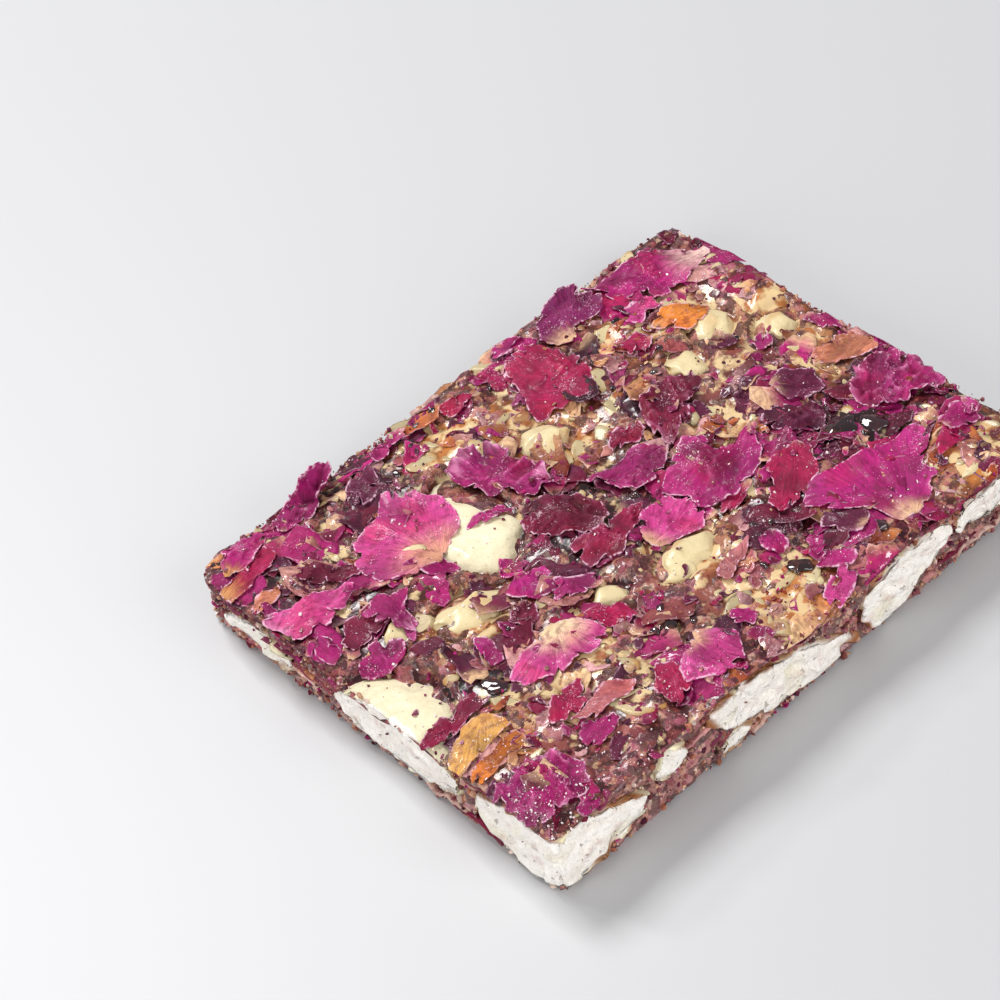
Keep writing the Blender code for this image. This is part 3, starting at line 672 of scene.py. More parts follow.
def nut_tints(almond, points):
    """White where the nut is cut, brown along its skin there, cream where it is glazed."""
    name, x, y, _, _, _, _, _, _, halved = almond
    depth = depth_in_almond(points, almond)
    cut = from_knife(points) < CUT_BAND
    wander = 0.05 * swell(points, 2.0, 21)
    skin = fade(depth + wander, 0.92, 0.99) * fade(swell(points, 3.0, 22), -0.2, 0.3)
    if halved:
        skin *= fade(points[:, 2] - top_plane(x, y), -1.0, -1.8)
    amber = 0.55 * fade(swell(points, 2.2, 23), 0.2, 0.8) * fade(depth, 0.75, 1.0)
    amber *= 0.0 if halved else 1.0
    glazed = NUT_GLAZED if name.startswith("almond_top") and not halved else NUT_CREAM
    cream = glazed + (NUT_AMBER - glazed) * amber[:, None]
    white = NUT_WHITE + (NUT_CREAM - NUT_WHITE) * (
        0.5 * fade(swell(points, 2.6, 24), 0.3, 0.9)[:, None])
    tint = np.where(cut[:, None], white, cream)
    if halved or not name.startswith("almond_top"):
        tint = tint + (NUT_SKIN - tint) * skin[:, None]
    return tint


def make_nuts():
    knife = cut_block()
    finish = nut_finish("almond")
    for almond in ALMONDS:
        name = almond[0]
        mesh = nut_body(almond, knife)
        points = np.empty(len(mesh.vertices) * 3, np.float32)
        mesh.vertices.foreach_get("co", points)
        points = points.reshape(-1, 3) / MM
        normals = np.array([v.normal for v in mesh.vertices])
        facing = np.hypot(normals[:, 0], normals[:, 1])
        cut = np.clip((facing - 0.8) * 10, 0, 1) * (from_knife(points) < 3 * CUT_BAND)
        chips = swells(points, NUT_RELIEF) + cut * swells(points, CUT_RELIEF)
        chips -= SCOOP_DEPTH * fade(swell(points, SCOOP_SIZE, 27), 0.35, 0.75)
        in_top = almond[-1] or name.startswith("almond_top")
        chips = np.where(in_top & (normals[:, 2] > 0.3), np.maximum(0.4 * chips, -0.08), chips)
        tints = nut_tints(almond, points)
        (coarse, far), (fine, near) = BENT_SIZES
        bent = np.stack([
            swells(points, ((coarse, far, seed), (fine, near, seed + 3)))
            for seed in (61, 62, 63)], -1)
        for axis, limit in ((0, LENGTH / 2), (1, WIDTH / 2)):
            at_side = np.abs(points[:, axis]) > limit - CUT_BAND
            bent[at_side, axis] = 0
        bent *= BENT_HALVED if almond[-1] else BENT_WHOLE
        moved = points + normals * (chips - 0.05)[:, None] + bent
        mesh.vertices.foreach_set("co", (moved * MM).astype(np.float32).ravel())
        mesh.update()
        mesh.shade_smooth()
        mesh.materials.clear()
        slot = "almond_glazed" if name.startswith("almond_top") else "almond_cut"
        add_piece(f"{name}_nut", mesh, finish, slot, tints, [name], cut=cut)
        lay_mesh(mesh)
    bpy.data.objects.remove(knife)


def lay_mesh(mesh):
    """Adds a mesh's upper side to the ground by looking straight down on it."""
    tree = BVHTree.FromPolygons(
        [v.co for v in mesh.vertices], [tuple(p.vertices) for p in mesh.polygons])
    box = np.array([v.co for v in mesh.vertices]) / MM
    (low_x, low_y, _), (high_x, high_y, _) = box.min(0), box.max(0)
    inside = np.nonzero(
        (ground.x > low_x) & (ground.x < high_x) & (ground.y > low_y) & (ground.y < high_y))
    down = Vector((0, 0, -1))
    for i, j in zip(*inside):
        start = Vector((ground.x[i, j], ground.y[i, j], 5 * THICKNESS)) * MM
        hit = tree.ray_cast(start, down)[0]
        if hit:
            ground.heights[i, j] = max(ground.heights[i, j], hit.z / MM)


make_nuts()


# The large petals: dried rose petals strewn over the warm sugar and pressed in by the roller.
# Each is thin and papery, magenta to plum with a cream claw where it grew on the flower, and
# its torn rim is crisp, with sugar crystals along it.
PETAL_THICKNESS = 0.11
FINE_GRID = (160, 22)
SMALL_GRID = (72, 12)
CLEARANCE = 0.03
EDGE_LIMIT = np.array([LENGTH / 2 + 0.25, WIDTH / 2 + 0.25])
MAGENTA = rgb(165, 21, 104)
PINK = rgb(193, 56, 129)
CRIMSON = rgb(156, 12, 68)
DARK = rgb(116, 10, 50)
PLUM = rgb(88, 14, 50)
VIOLET = rgb(156, 24, 98)
SALMON = rgb(206, 128, 96)
ORANGE = rgb(216, 128, 44)
YELLOW = rgb(216, 160, 84)
CREAM = rgb(232, 190, 146)
PALE = rgb(222, 140, 182)
VEIN = rgb(120, 40, 84)
MOTTLE = rgb(104, 10, 50)
CRYSTAL = rgb(238, 192, 212)
DUST = rgb(236, 200, 216)
TORN_MARGIN = 0.12
TEETH_SIZE = 0.4
TEETH_DEPTH = 0.2
LOBE_SIZE = 2.4
LOBE_DEPTH = 0.45
NICK_SIZE = 0.9
NICK_DEPTH = 0.8
TEAR_SIZE = 1.5
TEAR_DEPTH = 0.4

# Size, height and seed of the crumples all over a petal and of the frills along its rim
CRUMPLES = ((2.1, 1.0, 36), (1.0, 0.5, 37), (0.5, 0.28, 41))
FRILLS = ((1.0, 1.0, 33), (0.5, 0.5, 34))
BRIDGE = 0.15
DARKER = 0.4
PINKER = 0.4
REDDER = 0.5
# How strongly painted shade darkens a petal in the troughs of its crumples
PAINTED_CREASE_SHADE = 0.4
PINK_TINT = np.array([1.35, 2.6, 1.7])
RED_LOSS = np.array([0.0, 0.4, 0.55])
VEINS_ACROSS = 26
VEINS_ALONG = 0.45
discs = {}


def petal_finish(name, coat, rim=0.3):
    """Papery petal: fine veins fan out from its claw, with sugar dust and a thin glaze."""
    r = Recipe(name, Coat_Roughness=0.08, Specular_IOR_Level=0.3)
    place = r.node("NewGeometry", {}, {})
    fan = r.attribute("fan", 1)
    tint = r.attribute("tint")
    edge = r.attribute("edge", 2)
    vein = r.node("TexNoise", {}, {"Vector": fan, "Scale": 1.0, "Detail": 3.0, "Roughness": 0.6})
    mottle = r.grain(0.8, 4.0, place)
    tint = r.mix(r.step(vein, 0.48, 0.72) * 0.45, tint, opaque(VEIN), "MULTIPLY")
    tint = r.mix(r.step(vein, 0.46, 0.26) * 0.45, tint, tint, "ADD")
    tint = r.mix(r.step(mottle, 0.48, 0.66) * 0.42, tint, opaque(MOTTLE))
    grit = r.grain(0.17, 2.0, place)
    crystals = r.step(edge, 0.2, 0.04) * r.step(r.grain(0.6, 3.0, place), 0.45, 0.58)
    tint = r.mix(crystals * rim, tint, opaque(CRYSTAL))
    dust = r.step(grit + r.grain(2.4, 3.0, place) * 0.7, 1.03, 1.1)
    tint = r.mix(dust * 0.4, tint, opaque(DUST))
    wet = r.step(r.grain(2.8, 3.0, place), 0.5, 0.6)
    relief = vein * 0.7 + mottle * 0.9 + r.grain(0.28, 3.0, place) * 0.3
    return r.feed(
        Base_Color=tint,
        Roughness=0.7 - wet * 0.24,
        Coat_Weight=wet * coat,
        Normal=r.bumps(relief, 0.12),
    )


def closed_outline(corners, count):
    """A closed line through a petal's corners, hardly rounded, with this many points."""
    corners = np.asarray(corners, float)
    after = np.roll(corners, -1, 0)
    if np.sum(corners[:, 0] * after[:, 1] - after[:, 0] * corners[:, 1]) < 0:
        corners = corners[::-1]
    place = np.arange(count) / count * len(corners)
    whole = place.astype(int)
    t = (place - whole)[:, None]
    p = [corners[(whole + k) % len(corners)] for k in (-1, 0, 1, 2)]
    curve = 0.5 * (
        2 * p[1] + (p[2] - p[0]) * t + (2 * p[0] - 5 * p[1] + 4 * p[2] - p[3]) * t**2
        + (3 * p[1] - p[0] - 3 * p[2] + p[3]) * t**3)
    return 0.5 * curve + 0.5 * (p[1] * (1 - t) + p[2] * t)


def rows_below(rings):
    """The rings that a thin sheet's underside keeps."""
    return list(range(rings, 0, -3))[::-1]


def disc_faces(spokes, rings):
    """Faces of a closed thin disc: a middle point and rings above, fewer rings below, a rim."""
    if (spokes, rings) not in discs:
        below = len(rows_below(rings))
        one = 1 + spokes * rings
        s = np.arange(spokes)
        after = (s + 1) % spokes
        fan = np.stack([np.zeros(spokes, int), 1 + s, 1 + after], -1)
        quads = [np.zeros((0, 4), int)]
        for first, count, turn in ((1, rings, 1), (one + 1, below, -1)):
            for ring in range(count - 1):
                inner, outer = first + ring * spokes, first + (ring + 1) * spokes
                sides = [inner + s, outer + s, outer + after, inner + after][::turn]
                quads.append(np.stack(sides, -1))
        upper = 1 + (rings - 1) * spokes
        lower = one + 1 + (below - 1) * spokes
        quads.append(np.stack([upper + s, lower + s, lower + after, upper + after], -1))
        discs[spokes, rings] = (
            np.concatenate(quads), np.concatenate([fan, fan[:, ::-1] + one]))
    return discs[spokes, rings]


def disc_rows(grid):
    """The values of a polar grid in the order of the disc's points."""
    upper = grid[1:].reshape(-1, grid.shape[-1])
    lower = grid[rows_below(len(grid) - 1)].reshape(-1, grid.shape[-1])
    return np.concatenate([grid[0, :1], upper, grid[0, :1], lower])


def thin_sheet(grid, thickness):
    """Points of a closed thin disc under a polar grid, whose first ring is its middle."""
    along = np.gradient(grid, axis=0)
    around = np.roll(grid, -1, 1) - np.roll(grid, 1, 1)
    normal = np.cross(along, around)
    normal /= np.maximum(np.linalg.norm(normal, axis=-1, keepdims=True), 1e-9)
    normal[0] = normal[1].mean(0)
    drop = disc_rows(normal * thickness)
    drop[: 1 + grid[1:, :, 0].size] = 0
    return disc_rows(grid) - drop


def fill_between(grid, factor):
    """More points between those of a polar grid, so that no cell of the ground is missed."""
    rings = np.linspace(0, grid.shape[0] - 1, (grid.shape[0] - 1) * factor + 1)
    low = np.minimum(rings.astype(int), grid.shape[0] - 2)
    t = (rings - low)[:, None, None]
    grid = grid[low] * (1 - t) + grid[low + 1] * t
    parts = [grid * (1 - k / factor) + np.roll(grid, -1, 1) * (k / factor) for k in range(factor)]
    return np.concatenate(parts, 1)


def ridges(points, size, seed):
    """Sharp creases, from -1 to 1."""
    return 1 - 2.6 * np.abs(swell(points, size, seed))


def torn_plan(line, shares, seed):
    """A polar grid from above that fills a petal out to its torn edge."""
    middle = line.mean(0)
    torn = TORN_MARGIN - TEETH_DEPTH * np.abs(swell(line, TEETH_SIZE, seed + 30))
    torn += LOBE_DEPTH * swell(line, LOBE_SIZE, seed + 31)
    torn -= NICK_DEPTH * fade(swell(line, NICK_SIZE, seed + 32), 0.5, 0.65)
    torn -= TEAR_DEPTH * fade(swell(line, TEAR_SIZE, seed + 43), 0.2, 0.5)
    arms = np.linalg.norm(line - middle, axis=1)
    away = (line - middle) / np.maximum(arms[:, None], 1e-9)
    plan = middle + (line - middle) * shares[..., None]
    plan = plan + (away * torn[:, None]) * shares[..., None] ** 5
    return np.clip(plan, -EDGE_LIMIT, EDGE_LIMIT)


def rim_rise(line, shares, lifts, curl, seed):
    """How far the petal's rim curls up all round, and stands up on some sides."""
    middle = line.mean(0)
    angle = np.arctan2(line[:, 1] - middle[1], line[:, 0] - middle[0])
    rise = np.zeros((len(shares), len(line)))
    for direction, amount in lifts:
        facing = np.clip(np.cos(angle - math.radians(direction)), 0, 1) ** 1.5
        rise += amount * facing * shares**2.2
    frill = swells(line, [(size, height, seed + k) for size, height, k in FRILLS])
    return rise + curl * (0.35 + 0.9 * frill) * shares**5


def make_petal(name, colour, corners, claw, reach=4.0, claw_colour=CREAM, rim=0.4, curl=0.2,
               lifts=(), crease=0.15, folds=0.12, stiffness=0.45, finish=None,
               slot="petal_magenta", grid=None, seed=1):
    """One petal over the ground. claw is the point it grew from, and reach how far its pale
    base runs; lifts are directions in degrees and heights by which the rim stands up."""
    spokes, rings = grid or FINE_GRID
    shares = (1 - (1 - np.linspace(0, 1, rings + 1)) ** 1.3)[:, None]
    line = closed_outline(corners, spokes)
    middle = line.mean(0)
    plan = torn_plan(line, shares, seed)
    x, y = plan[..., 0], plan[..., 1]
    rise = rim_rise(line, shares, lifts, curl, seed)
    from_claw = plan - np.asarray(claw)
    far = np.linalg.norm(from_claw, axis=-1)
    centre = middle - np.asarray(claw)
    bearing = np.arctan2(from_claw[..., 1], from_claw[..., 0]) - math.atan2(centre[1], centre[0])
    bearing = (bearing + math.pi) % math.tau - math.pi
    wave = np.stack([bearing * 3.2, far * 0.12], -1)
    rise += folds * ridges(wave, 0.8, seed + 35) * fade(far, 0.5, 4)
    crumple = sum(height * ridges(plan, size, seed + k) for size, height, k in CRUMPLES)
    rise += crease * crumple
    low = ground.rest(x, y, BRIDGE, stiffness)
    sag = ground.rest(x, y, 0.0, 0.2)
    height = np.maximum(low + rise, sag - 0.02) + CLEARANCE + PETAL_THICKNESS
    grid = np.stack([x, y, height], -1)
    grid[0] = grid[0].mean(0)
    points = thin_sheet(grid, PETAL_THICKNESS)
    ground.lay(fill_between(grid, 3), covers=True)

    tint = colour * (1 - DARKER * fade(swell(plan, 3.0, seed + 39), -0.1, 0.8))[..., None]
    pinker = PINKER * (colour[1] < 0.1) * fade(swell(plan, 2.2, seed + 44), 0.1, 0.8)[..., None]
    tint = tint * (1 - pinker) + colour * PINK_TINT * pinker
    redder = REDDER * fade(swell(plan, 2.6, seed + 45), 0.2, 0.8)[..., None]
    tint = tint * (1 - redder * RED_LOSS)
    # Painted shade: the petal's colour is darkened in the troughs of its crumples, where shade
    # falls.
    crease_shade = np.clip(-crumple, 0, 1) * min(1, crease * 3)
    tint = tint * (1 - PAINTED_CREASE_SHADE * crease_shade)[..., None]
    claws = fade(far + 0.5 * swell(wave, 0.35, seed + 38), reach, reach * 0.1)
    tint = tint + (claw_colour - tint) * claws[..., None]
    bleach = rim * shares**9 * fade(swell(line, 1.5, seed + 40), -0.3, 0.6)
    # Painted highlight: the crests of the crumples are mixed towards pale pink as if lit; the pale
    # band along the torn rim is the petal's own colour.
    crest_highlight = rim * np.clip(crumple - 0.9, 0, 1) * min(1, crease * 2)
    tint = tint + (PALE - tint) * np.clip(0.45 * bleach + crest_highlight, 0, 1)[..., None]
    fan = np.stack(
        [bearing * VEINS_ACROSS, far * VEINS_ALONG, np.full(far.shape, seed * 3.7)], -1)
    edge = (np.linalg.norm(line - middle, axis=1) * (1 - shares))[..., None]
    mesh = mesh_from(f"{name}_dried", points, *disc_faces(spokes, rings))
    add_piece(f"{name}_dried", mesh, finish or matte_petal, slot, np.clip(disc_rows(tint), 0, 1),
              [name] if name in SOLIDS else (), fan=disc_rows(fan), edge=disc_rows(edge)[:, 0])


# Name, colour, centre, length, width and heading of the smaller torn pieces that lie on top
SMALL_PETALS = (
    ("curled_strip", SALMON, -31.0, 16.6, 5.0, 2.2, 10),
    ("left_of_middle", MAGENTA, -21.5, -5.1, 4.2, 2.2, 80),
    ("dark_square", DARK, -16.0, -4.4, 3.8, 3.2, 70),
    ("over_amber", MAGENTA, -13.0, -1.6, 5.4, 4.0, -20),
    ("violet_torn", VIOLET, -10.5, -5.8, 5.4, 4.0, -10),
    ("near_purple", PLUM, 12.0, -20.0, 5.4, 4.4, 30),
    ("right_frilly", VIOLET, 29.0, -18.8, 5.4, 3.2, 0),
    ("near_edge_pink", PINK, 5.5, -25.0, 5.4, 2.8, 12),
    ("right_leaf", VIOLET, 25.2, 4.6, 3.4, 2.4, 50),
    ("on_almond", MAGENTA, -9.0, 8.4, 5.2, 2.2, -14),
    ("left_of_fan", MAGENTA, -17.0, 7.0, 4.4, 3.0, -30),
    ("left_strip", PINK, -24.0, 3.4, 4.4, 1.8, 70),
    ("near_small", MAGENTA, 5.5, -16.4, 3.2, 2.6, 40),
    ("crimson_strip", CRIMSON, 7.5, -9.2, 4.6, 2.2, 4),
    ("orange_fold", ORANGE, 23.0, 13.9, 6.6, 4.6, -12),
    ("far_red", CRIMSON, 17.0, 14.8, 4.4, 3.2, 10),
    ("near_middle", MAGENTA, -3.0, -21.0, 3.6, 3.2, 0),
    ("right_dark", PLUM, 22.8, -2.6, 6.0, 4.4, -20),
    ("far_pink", PINK, 20.8, 18.0, 5.4, 3.0, 10),
    ("near_right", MAGENTA, 7.6, -22.4, 4.4, 3.0, -30),
    ("right_pink", PINK, 31.0, -18.8, 3.4, 2.6, 30),
    ("left_maroon", DARK, -27.0, 6.6, 6.4, 4.4, 20),
    ("left_plum", VIOLET, -28.4, 2.4, 5.6, 3.8, -10),
    ("far_left_plum", PLUM, -14.6, 21.6, 5.6, 3.4, 30),
    ("middle_magenta", MAGENTA, 10.4, -1.2, 4.2, 3.2, 30),
    ("far_middle", CRIMSON, -0.6, 22.6, 5.0, 3.0, -10),
    ("left_near", CRIMSON, -20.6, -15.8, 6.0, 3.4, 20),
    ("near_left", VIOLET, -21.0, -20.4, 5.6, 3.8, -20),
    ("right_crimson", CRIMSON, 27.6, -8.6, 3.6, 2.6, 10),
    ("dusty_strip", rgb(186, 110, 112), 1.8, -15.0, 6.0, 2.4, 20),
    ("dusty_left", rgb(176, 96, 100), -18.6, -18.2, 6.4, 2.6, -8),
    ("left_edge", MAGENTA, -31.2, 6.8, 5.0, 2.8, 80),
    ("far_edge_violet", VIOLET, -8.8, 24.4, 6.0, 3.0, 6),
    ("far_edge_magenta", MAGENTA, 8.4, 25.2, 5.0, 2.4, 0),
    ("right_edge", VIOLET, 31.6, 2.2, 4.4, 3.0, 80),
)


def small_corners(x, y, length, width, heading, draw):
    """Corners of a torn piece: a lopsided polygon with a few notches."""
    count = draw.integers(6, 10)
    turn = (np.arange(count) + draw.uniform(-0.3, 0.3, count)) / count * math.tau
    reach = draw.uniform(0.72, 1.12, count)
    flat = np.stack([np.cos(turn) * length / 2, np.sin(turn) * width / 2], -1) * reach[:, None]
    return turned(flat, math.radians(heading)) + [x, y]


def strew_small_petals():
    draw = np.random.default_rng(12)
    for number, (name, colour, x, y, length, width, heading) in enumerate(SMALL_PETALS):
        corners = small_corners(x, y, length, width, heading, draw)
        side = turned(np.array([[length * 0.6, 0.0]]), math.radians(heading + draw.uniform(0, 360)))
        make_petal(f"petal_small_{name}", colour, corners, side[0] + [x, y],
                   reach=draw.uniform(0.3, 0.45) * length, crease=draw.uniform(0.08, 0.2),
                   rim=draw.uniform(0.2, 0.7), slot=slot_of(colour), grid=SMALL_GRID,
                   seed=50 + number)


def slot_of(colour):
    """The slot whose usual colour is nearest."""
    slots = {"petal_magenta": MAGENTA, "petal_pink": PINK, "petal_crimson": CRIMSON,
             "petal_dark": DARK, "petal_violet": VIOLET, "petal_salmon": SALMON,
             "petal_orange": ORANGE}
    return min(slots, key=lambda slot: np.abs(slots[slot] - colour).sum())


def turned(flat, angle):
    c, s = math.cos(angle), math.sin(angle)
    return flat @ np.array([[c, s], [-s, c]])


SOLIDS = set(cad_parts)
matte_petal = petal_finish("papery petal", 0.15, 0.8)
glazed_petal = petal_finish("glazed petal", 1.0, 0.5)


def strew_large_petals():
    make_petal("petal_far_left_spiky", VIOLET, (
        (-24.2, 23.2), (-20.8, 22.4), (-18.6, 23.6), (-15.6, 25.0), (-15.2, 26.4),
        (-18.8, 26.5), (-22.4, 26.2)), claw=(-24.5, 22.5), reach=1.5, curl=0.5,
        lifts=((60, 1.6), (10, 0.8)), crease=0.35, slot="petal_violet", seed=1)
    make_petal("petal_far_left_folded", CRIMSON, (
        (-33.1, 19.7), (-29.4, 19.4), (-25.8, 20.6), (-26.4, 22.6), (-30.4, 22.0),
        (-33.1, 21.6)), claw=(-34.5, 20.6), reach=4.2, claw_colour=YELLOW, slot="petal_crimson",
        seed=2)
    make_petal("petal_far_left_bright", MAGENTA, (
        (-31.8, 22.5), (-30.4, 21.6), (-27.0, 23.0), (-24.7, 24.5), (-25.3, 25.8),
        (-28.6, 25.9), (-31.3, 24.2)), claw=(-31.6, 22.0), reach=2.6, claw_colour=YELLOW,
        rim=0.8, seed=3)
    make_petal("petal_left_dark", DARK, (
        (-26.6, 14.2), (-23.2, 11.6), (-21.2, 12.6), (-23.4, 14.8), (-25.4, 17.6),
        (-27.8, 16.8)), claw=(-28, 18), reach=0.5, rim=0.3, slot="petal_dark", seed=4)
    make_petal("petal_left_bleached", PINK, (
        (-33.1, 11.6), (-31.4, 9.8), (-26.2, 9.8), (-24.0, 10.9), (-27.0, 13.6),
        (-30.6, 14.1), (-32.8, 14.6)), claw=(-33.6, 12.8), reach=2.2, claw_colour=PALE, rim=1.0,
        slot="petal_pink", seed=5)
    make_petal("petal_fan", PINK, (
        (-16.3, 7.4), (-13.6, 8.8), (-11.2, 11.0), (-10.5, 14.6), (-11.2, 17.2),
        (-14.0, 18.7), (-16.2, 17.3), (-20.2, 16.0), (-22.3, 13.8), (-22.0, 9.8),
        (-19.4, 7.8)), claw=(-16.0, 7.6), reach=6.0, claw_colour=rgb(222, 160, 128), rim=0.3,
        crease=0.05, folds=0.12, curl=0.15, stiffness=0.9, slot="petal_pink", seed=6)
    make_petal("petal_torn_star", VIOLET, (
        (-24.2, 2.2), (-23.4, 5.0), (-21.4, 6.6), (-24.0, 7.9), (-26.2, 7.4),
        (-25.4, 4.8)), claw=(-24, 2), reach=2.0, claw_colour=PALE, slot="petal_violet", seed=7)
    make_petal("petal_crumpled_white_rim", VIOLET, (
        (-2.6, 6.0), (-1.2, 9.2), (-1.7, 12.6), (-3.2, 15.6), (-5.6, 17.1),
        (-8.1, 17.1), (-8.7, 14.6), (-7.6, 11.6), (-5.7, 9.6), (-4.7, 7.2)), claw=(-2.0, 5.2),
        reach=0.8, rim=1.3, curl=0.7, crease=0.4, lifts=((180, 0.7),), slot="petal_violet",
        seed=8)
    make_petal("petal_crimson_upright", CRIMSON, (
        (9.2, 12.6), (10.9, 14.8), (12.0, 16.6), (11.3, 19.6), (10.3, 22.8),
        (6.4, 23.2), (4.8, 19.1), (3.4, 14.9), (6.9, 12.9)), claw=(9.2, 12), reach=0.6,
        rim=0.25, crease=0.15, stiffness=0.7, slot="petal_crimson", seed=9)
    make_petal("petal_far_violet", rgb(122, 22, 84), (
        (13.4, 19.8), (15.0, 21.7), (18.0, 20.9), (19.2, 22.2), (18.0, 24.0),
        (19.0, 25.8), (16.6, 26.3), (13.7, 25.7), (11.8, 24.0), (11.0, 21.6)),
        claw=(13.2, 19.6), reach=3.8, rim=0.4, lifts=((70, 1.2), (20, 0.8)), crease=0.2,
        stiffness=0.7, slot="petal_dark", seed=10)
    make_petal("petal_far_right_pale", MAGENTA, (
        (21.4, 20.4), (23.4, 18.2), (26.4, 17.2), (29.4, 18.3), (32.6, 19.4),
        (29.8, 22.8), (25.8, 24.3), (21.4, 24.9), (18.9, 24.0)), claw=(33.4, 19.6), reach=7.0,
        claw_colour=rgb(240, 206, 190), rim=0.5, lifts=((90, 0.9),), stiffness=0.6,
        slot="petal_pink", seed=11)
    make_petal("petal_dark_crumpled", DARK, (
        (-3.6, -1.6), (-1.6, -0.9), (-0.6, 1.6), (-1.6, 4.0), (-4.2, 6.0),
        (-6.4, 6.7), (-8.1, 4.0), (-8.1, 1.6), (-6.1, -0.4)), claw=(-3, -2), reach=0.5,
        rim=0.25, crease=0.45, slot="petal_dark", seed=12)
    make_petal("petal_plum_middle", VIOLET, (
        (1.0, 0.5), (3.4, -1.0), (6.4, -0.5), (8.0, 1.0), (6.4, 3.5), (3.4, 4.5),
        (0.4, 4.0)), claw=(8, 0), reach=0.8, rim=0.4, crease=0.35, slot="petal_violet", seed=13)
    make_petal("petal_crimson_small", CRIMSON, (
        (6.6, 4.4), (8.6, 4.5), (9.3, 6.3), (6.7, 7.2), (4.9, 5.8)), claw=(9, 4), reach=0.5,
        rim=0.8, crease=0.3, slot="petal_crimson", seed=14)
    make_petal("petal_dark_right", DARK, (
        (8.2, 0.2), (11.4, 1.9), (14.4, 3.9), (17.8, 5.2), (17.4, 7.0), (14.0, 8.2),
        (10.5, 7.4), (9.5, 4.0)), claw=(7.6, -0.4), reach=2.8, claw_colour=rgb(214, 150, 170),
        rim=0.4, crease=0.35, slot="petal_dark", seed=15)
    make_petal("petal_dark_middle", DARK * 1.5, (
        (-7.2, -4.4), (-4.6, -6.0), (-2.0, -4.5), (1.2, -2.8), (0.0, -1.5),
        (-3.8, -2.0), (-7.2, -1.4)), claw=(-8, -5), reach=0.5, rim=0.4, crease=0.3,
        slot="petal_dark", seed=16)
    make_petal("petal_bright_middle", PINK, (
        (-1.9, -6.4), (-0.6, -8.4), (3.4, -8.7), (5.4, -7.5), (4.9, -5.4), (3.4, -3.4),
        (1.0, -3.6), (-0.6, -4.4)), claw=(-2.2, -7.4), reach=3.0, rim=0.4, crease=0.12,
        stiffness=0.6, slot="petal_pink", seed=17)
    make_petal("petal_cracked_large", MAGENTA, (
        (5.2, -7.4), (8.4, -8.9), (11.9, -8.5), (14.4, -5.9), (16.2, -3.4),
        (13.9, -3.6), (10.7, -2.4), (10.0, -0.2), (6.0, -1.4), (3.4, -2.9),
        (4.8, -5.3)), claw=(15.8, -3.2), reach=1.5, rim=0.6, crease=0.25,
        seed=18)
    make_petal("petal_plum_frilled", PLUM, (
        (17.0, -7.9), (20.0, -9.1), (22.4, -6.6), (20.0, -3.9), (18.0, -3.1),
        (16.5, -4.9)), claw=(17, -9), reach=0.4, rim=0.2, crease=0.35, curl=0.3,
        slot="petal_dark", seed=19)
    make_petal("petal_salmon_right", SALMON, (
        (28.4, -2.9), (31.4, -5.0), (33.1, -3.8), (32.5, -0.9), (29.0, -0.4),
        (26.0, -0.9)), claw=(34, -4), reach=2.0, claw_colour=YELLOW, rim=0.3, crease=0.2,
        slot="petal_salmon", seed=20)
    make_petal("petal_frilled_right", VIOLET, (
        (24.6, -9.8), (26.0, -12.3), (30.4, -13.8), (33.1, -13.2), (33.1, -7.8),
        (31.4, -5.8), (28.4, -5.6), (25.2, -7.4)), claw=(24, -12), reach=0.5, rim=1.0,
        crease=0.5, curl=0.6, folds=0.3, slot="petal_violet", seed=21)
    make_petal("petal_crimson_diagonal", CRIMSON, (
        (8.9, -12.4), (8.9, -13.9), (11.4, -14.4), (14.8, -13.5), (16.8, -10.5),
        (15.8, -9.2), (12.4, -9.4)), claw=(16.6, -8.6), reach=1.2, rim=0.2, crease=0.12,
        stiffness=0.6, slot="petal_crimson", seed=22)
    make_petal("petal_flat_large", MAGENTA, (
        (10.4, -14.9), (12.2, -18.4), (14.2, -20.9), (14.8, -24.1), (18.8, -24.4),
        (21.8, -22.4), (22.3, -20.2), (25.8, -17.9), (25.3, -15.9), (21.3, -14.9),
        (14.4, -13.9)), claw=(16.0, -25.0), reach=3.6, rim=0.3, crease=0.05, curl=0.15,
        stiffness=0.9, seed=23)
    make_petal("petal_left_pink", PINK, (
        (-22.0, -11.1), (-18.5, -12.4), (-14.6, -13.3), (-12.6, -11.8), (-13.6, -9.4),
        (-16.0, -7.6), (-19.4, -7.9), (-22.0, -9.4)), claw=(-15.2, -7.8), reach=4.8,
        claw_colour=rgb(238, 212, 168), rim=0.4,
        crease=0.1, stiffness=0.6, slot="petal_pink", seed=24)
    make_petal("petal_left_magenta", CRIMSON * 1.15, (
        (-12.4, -12.3), (-8.9, -12.9), (-9.0, -10.9), (-13.0, -9.3)), claw=(-13, -9), reach=0.8,
        rim=0.3, crease=0.15, seed=25)
    make_petal("petal_near_magenta", CRIMSON, (
        (-15.3, -22.8), (-14.4, -24.3), (-11.6, -23.8), (-11.0, -20.9), (-12.6, -18.9),
        (-14.6, -20.7)), claw=(-11, -18), reach=0.8, rim=0.5, seed=26)
    make_petal("petal_near_pink", PINK, (
        (-12.2, -22.8), (-9.6, -24.6), (-7.0, -24.9), (-5.2, -22.6), (-5.8, -20.1),
        (-8.2, -18.9), (-11.0, -20.8)), claw=(-8.4, -18.6), reach=3.0, rim=0.5, crease=0.12,
        folds=0.3, slot="petal_pink", seed=27)
    make_petal("petal_corner_crumpled", VIOLET, (
        (-33.1, -24.0), (-27.6, -25.1), (-25.1, -22.3), (-26.2, -19.6), (-29.6, -18.4),
        (-33.1, -18.9)), claw=(-34, -26), reach=0.6, rim=0.8, crease=0.45, curl=0.4,
        slot="petal_violet", seed=28)
    make_petal("petal_orange_striped", ORANGE, (
        (-33.1, -15.4), (-33.1, -17.0), (-27.2, -16.8), (-26.2, -14.8), (-29.6, -15.0)),
        claw=(-34, -16.4), reach=1.0, claw_colour=YELLOW, rim=0.2, folds=0.25,
        finish=glazed_petal, slot="petal_orange", seed=29)
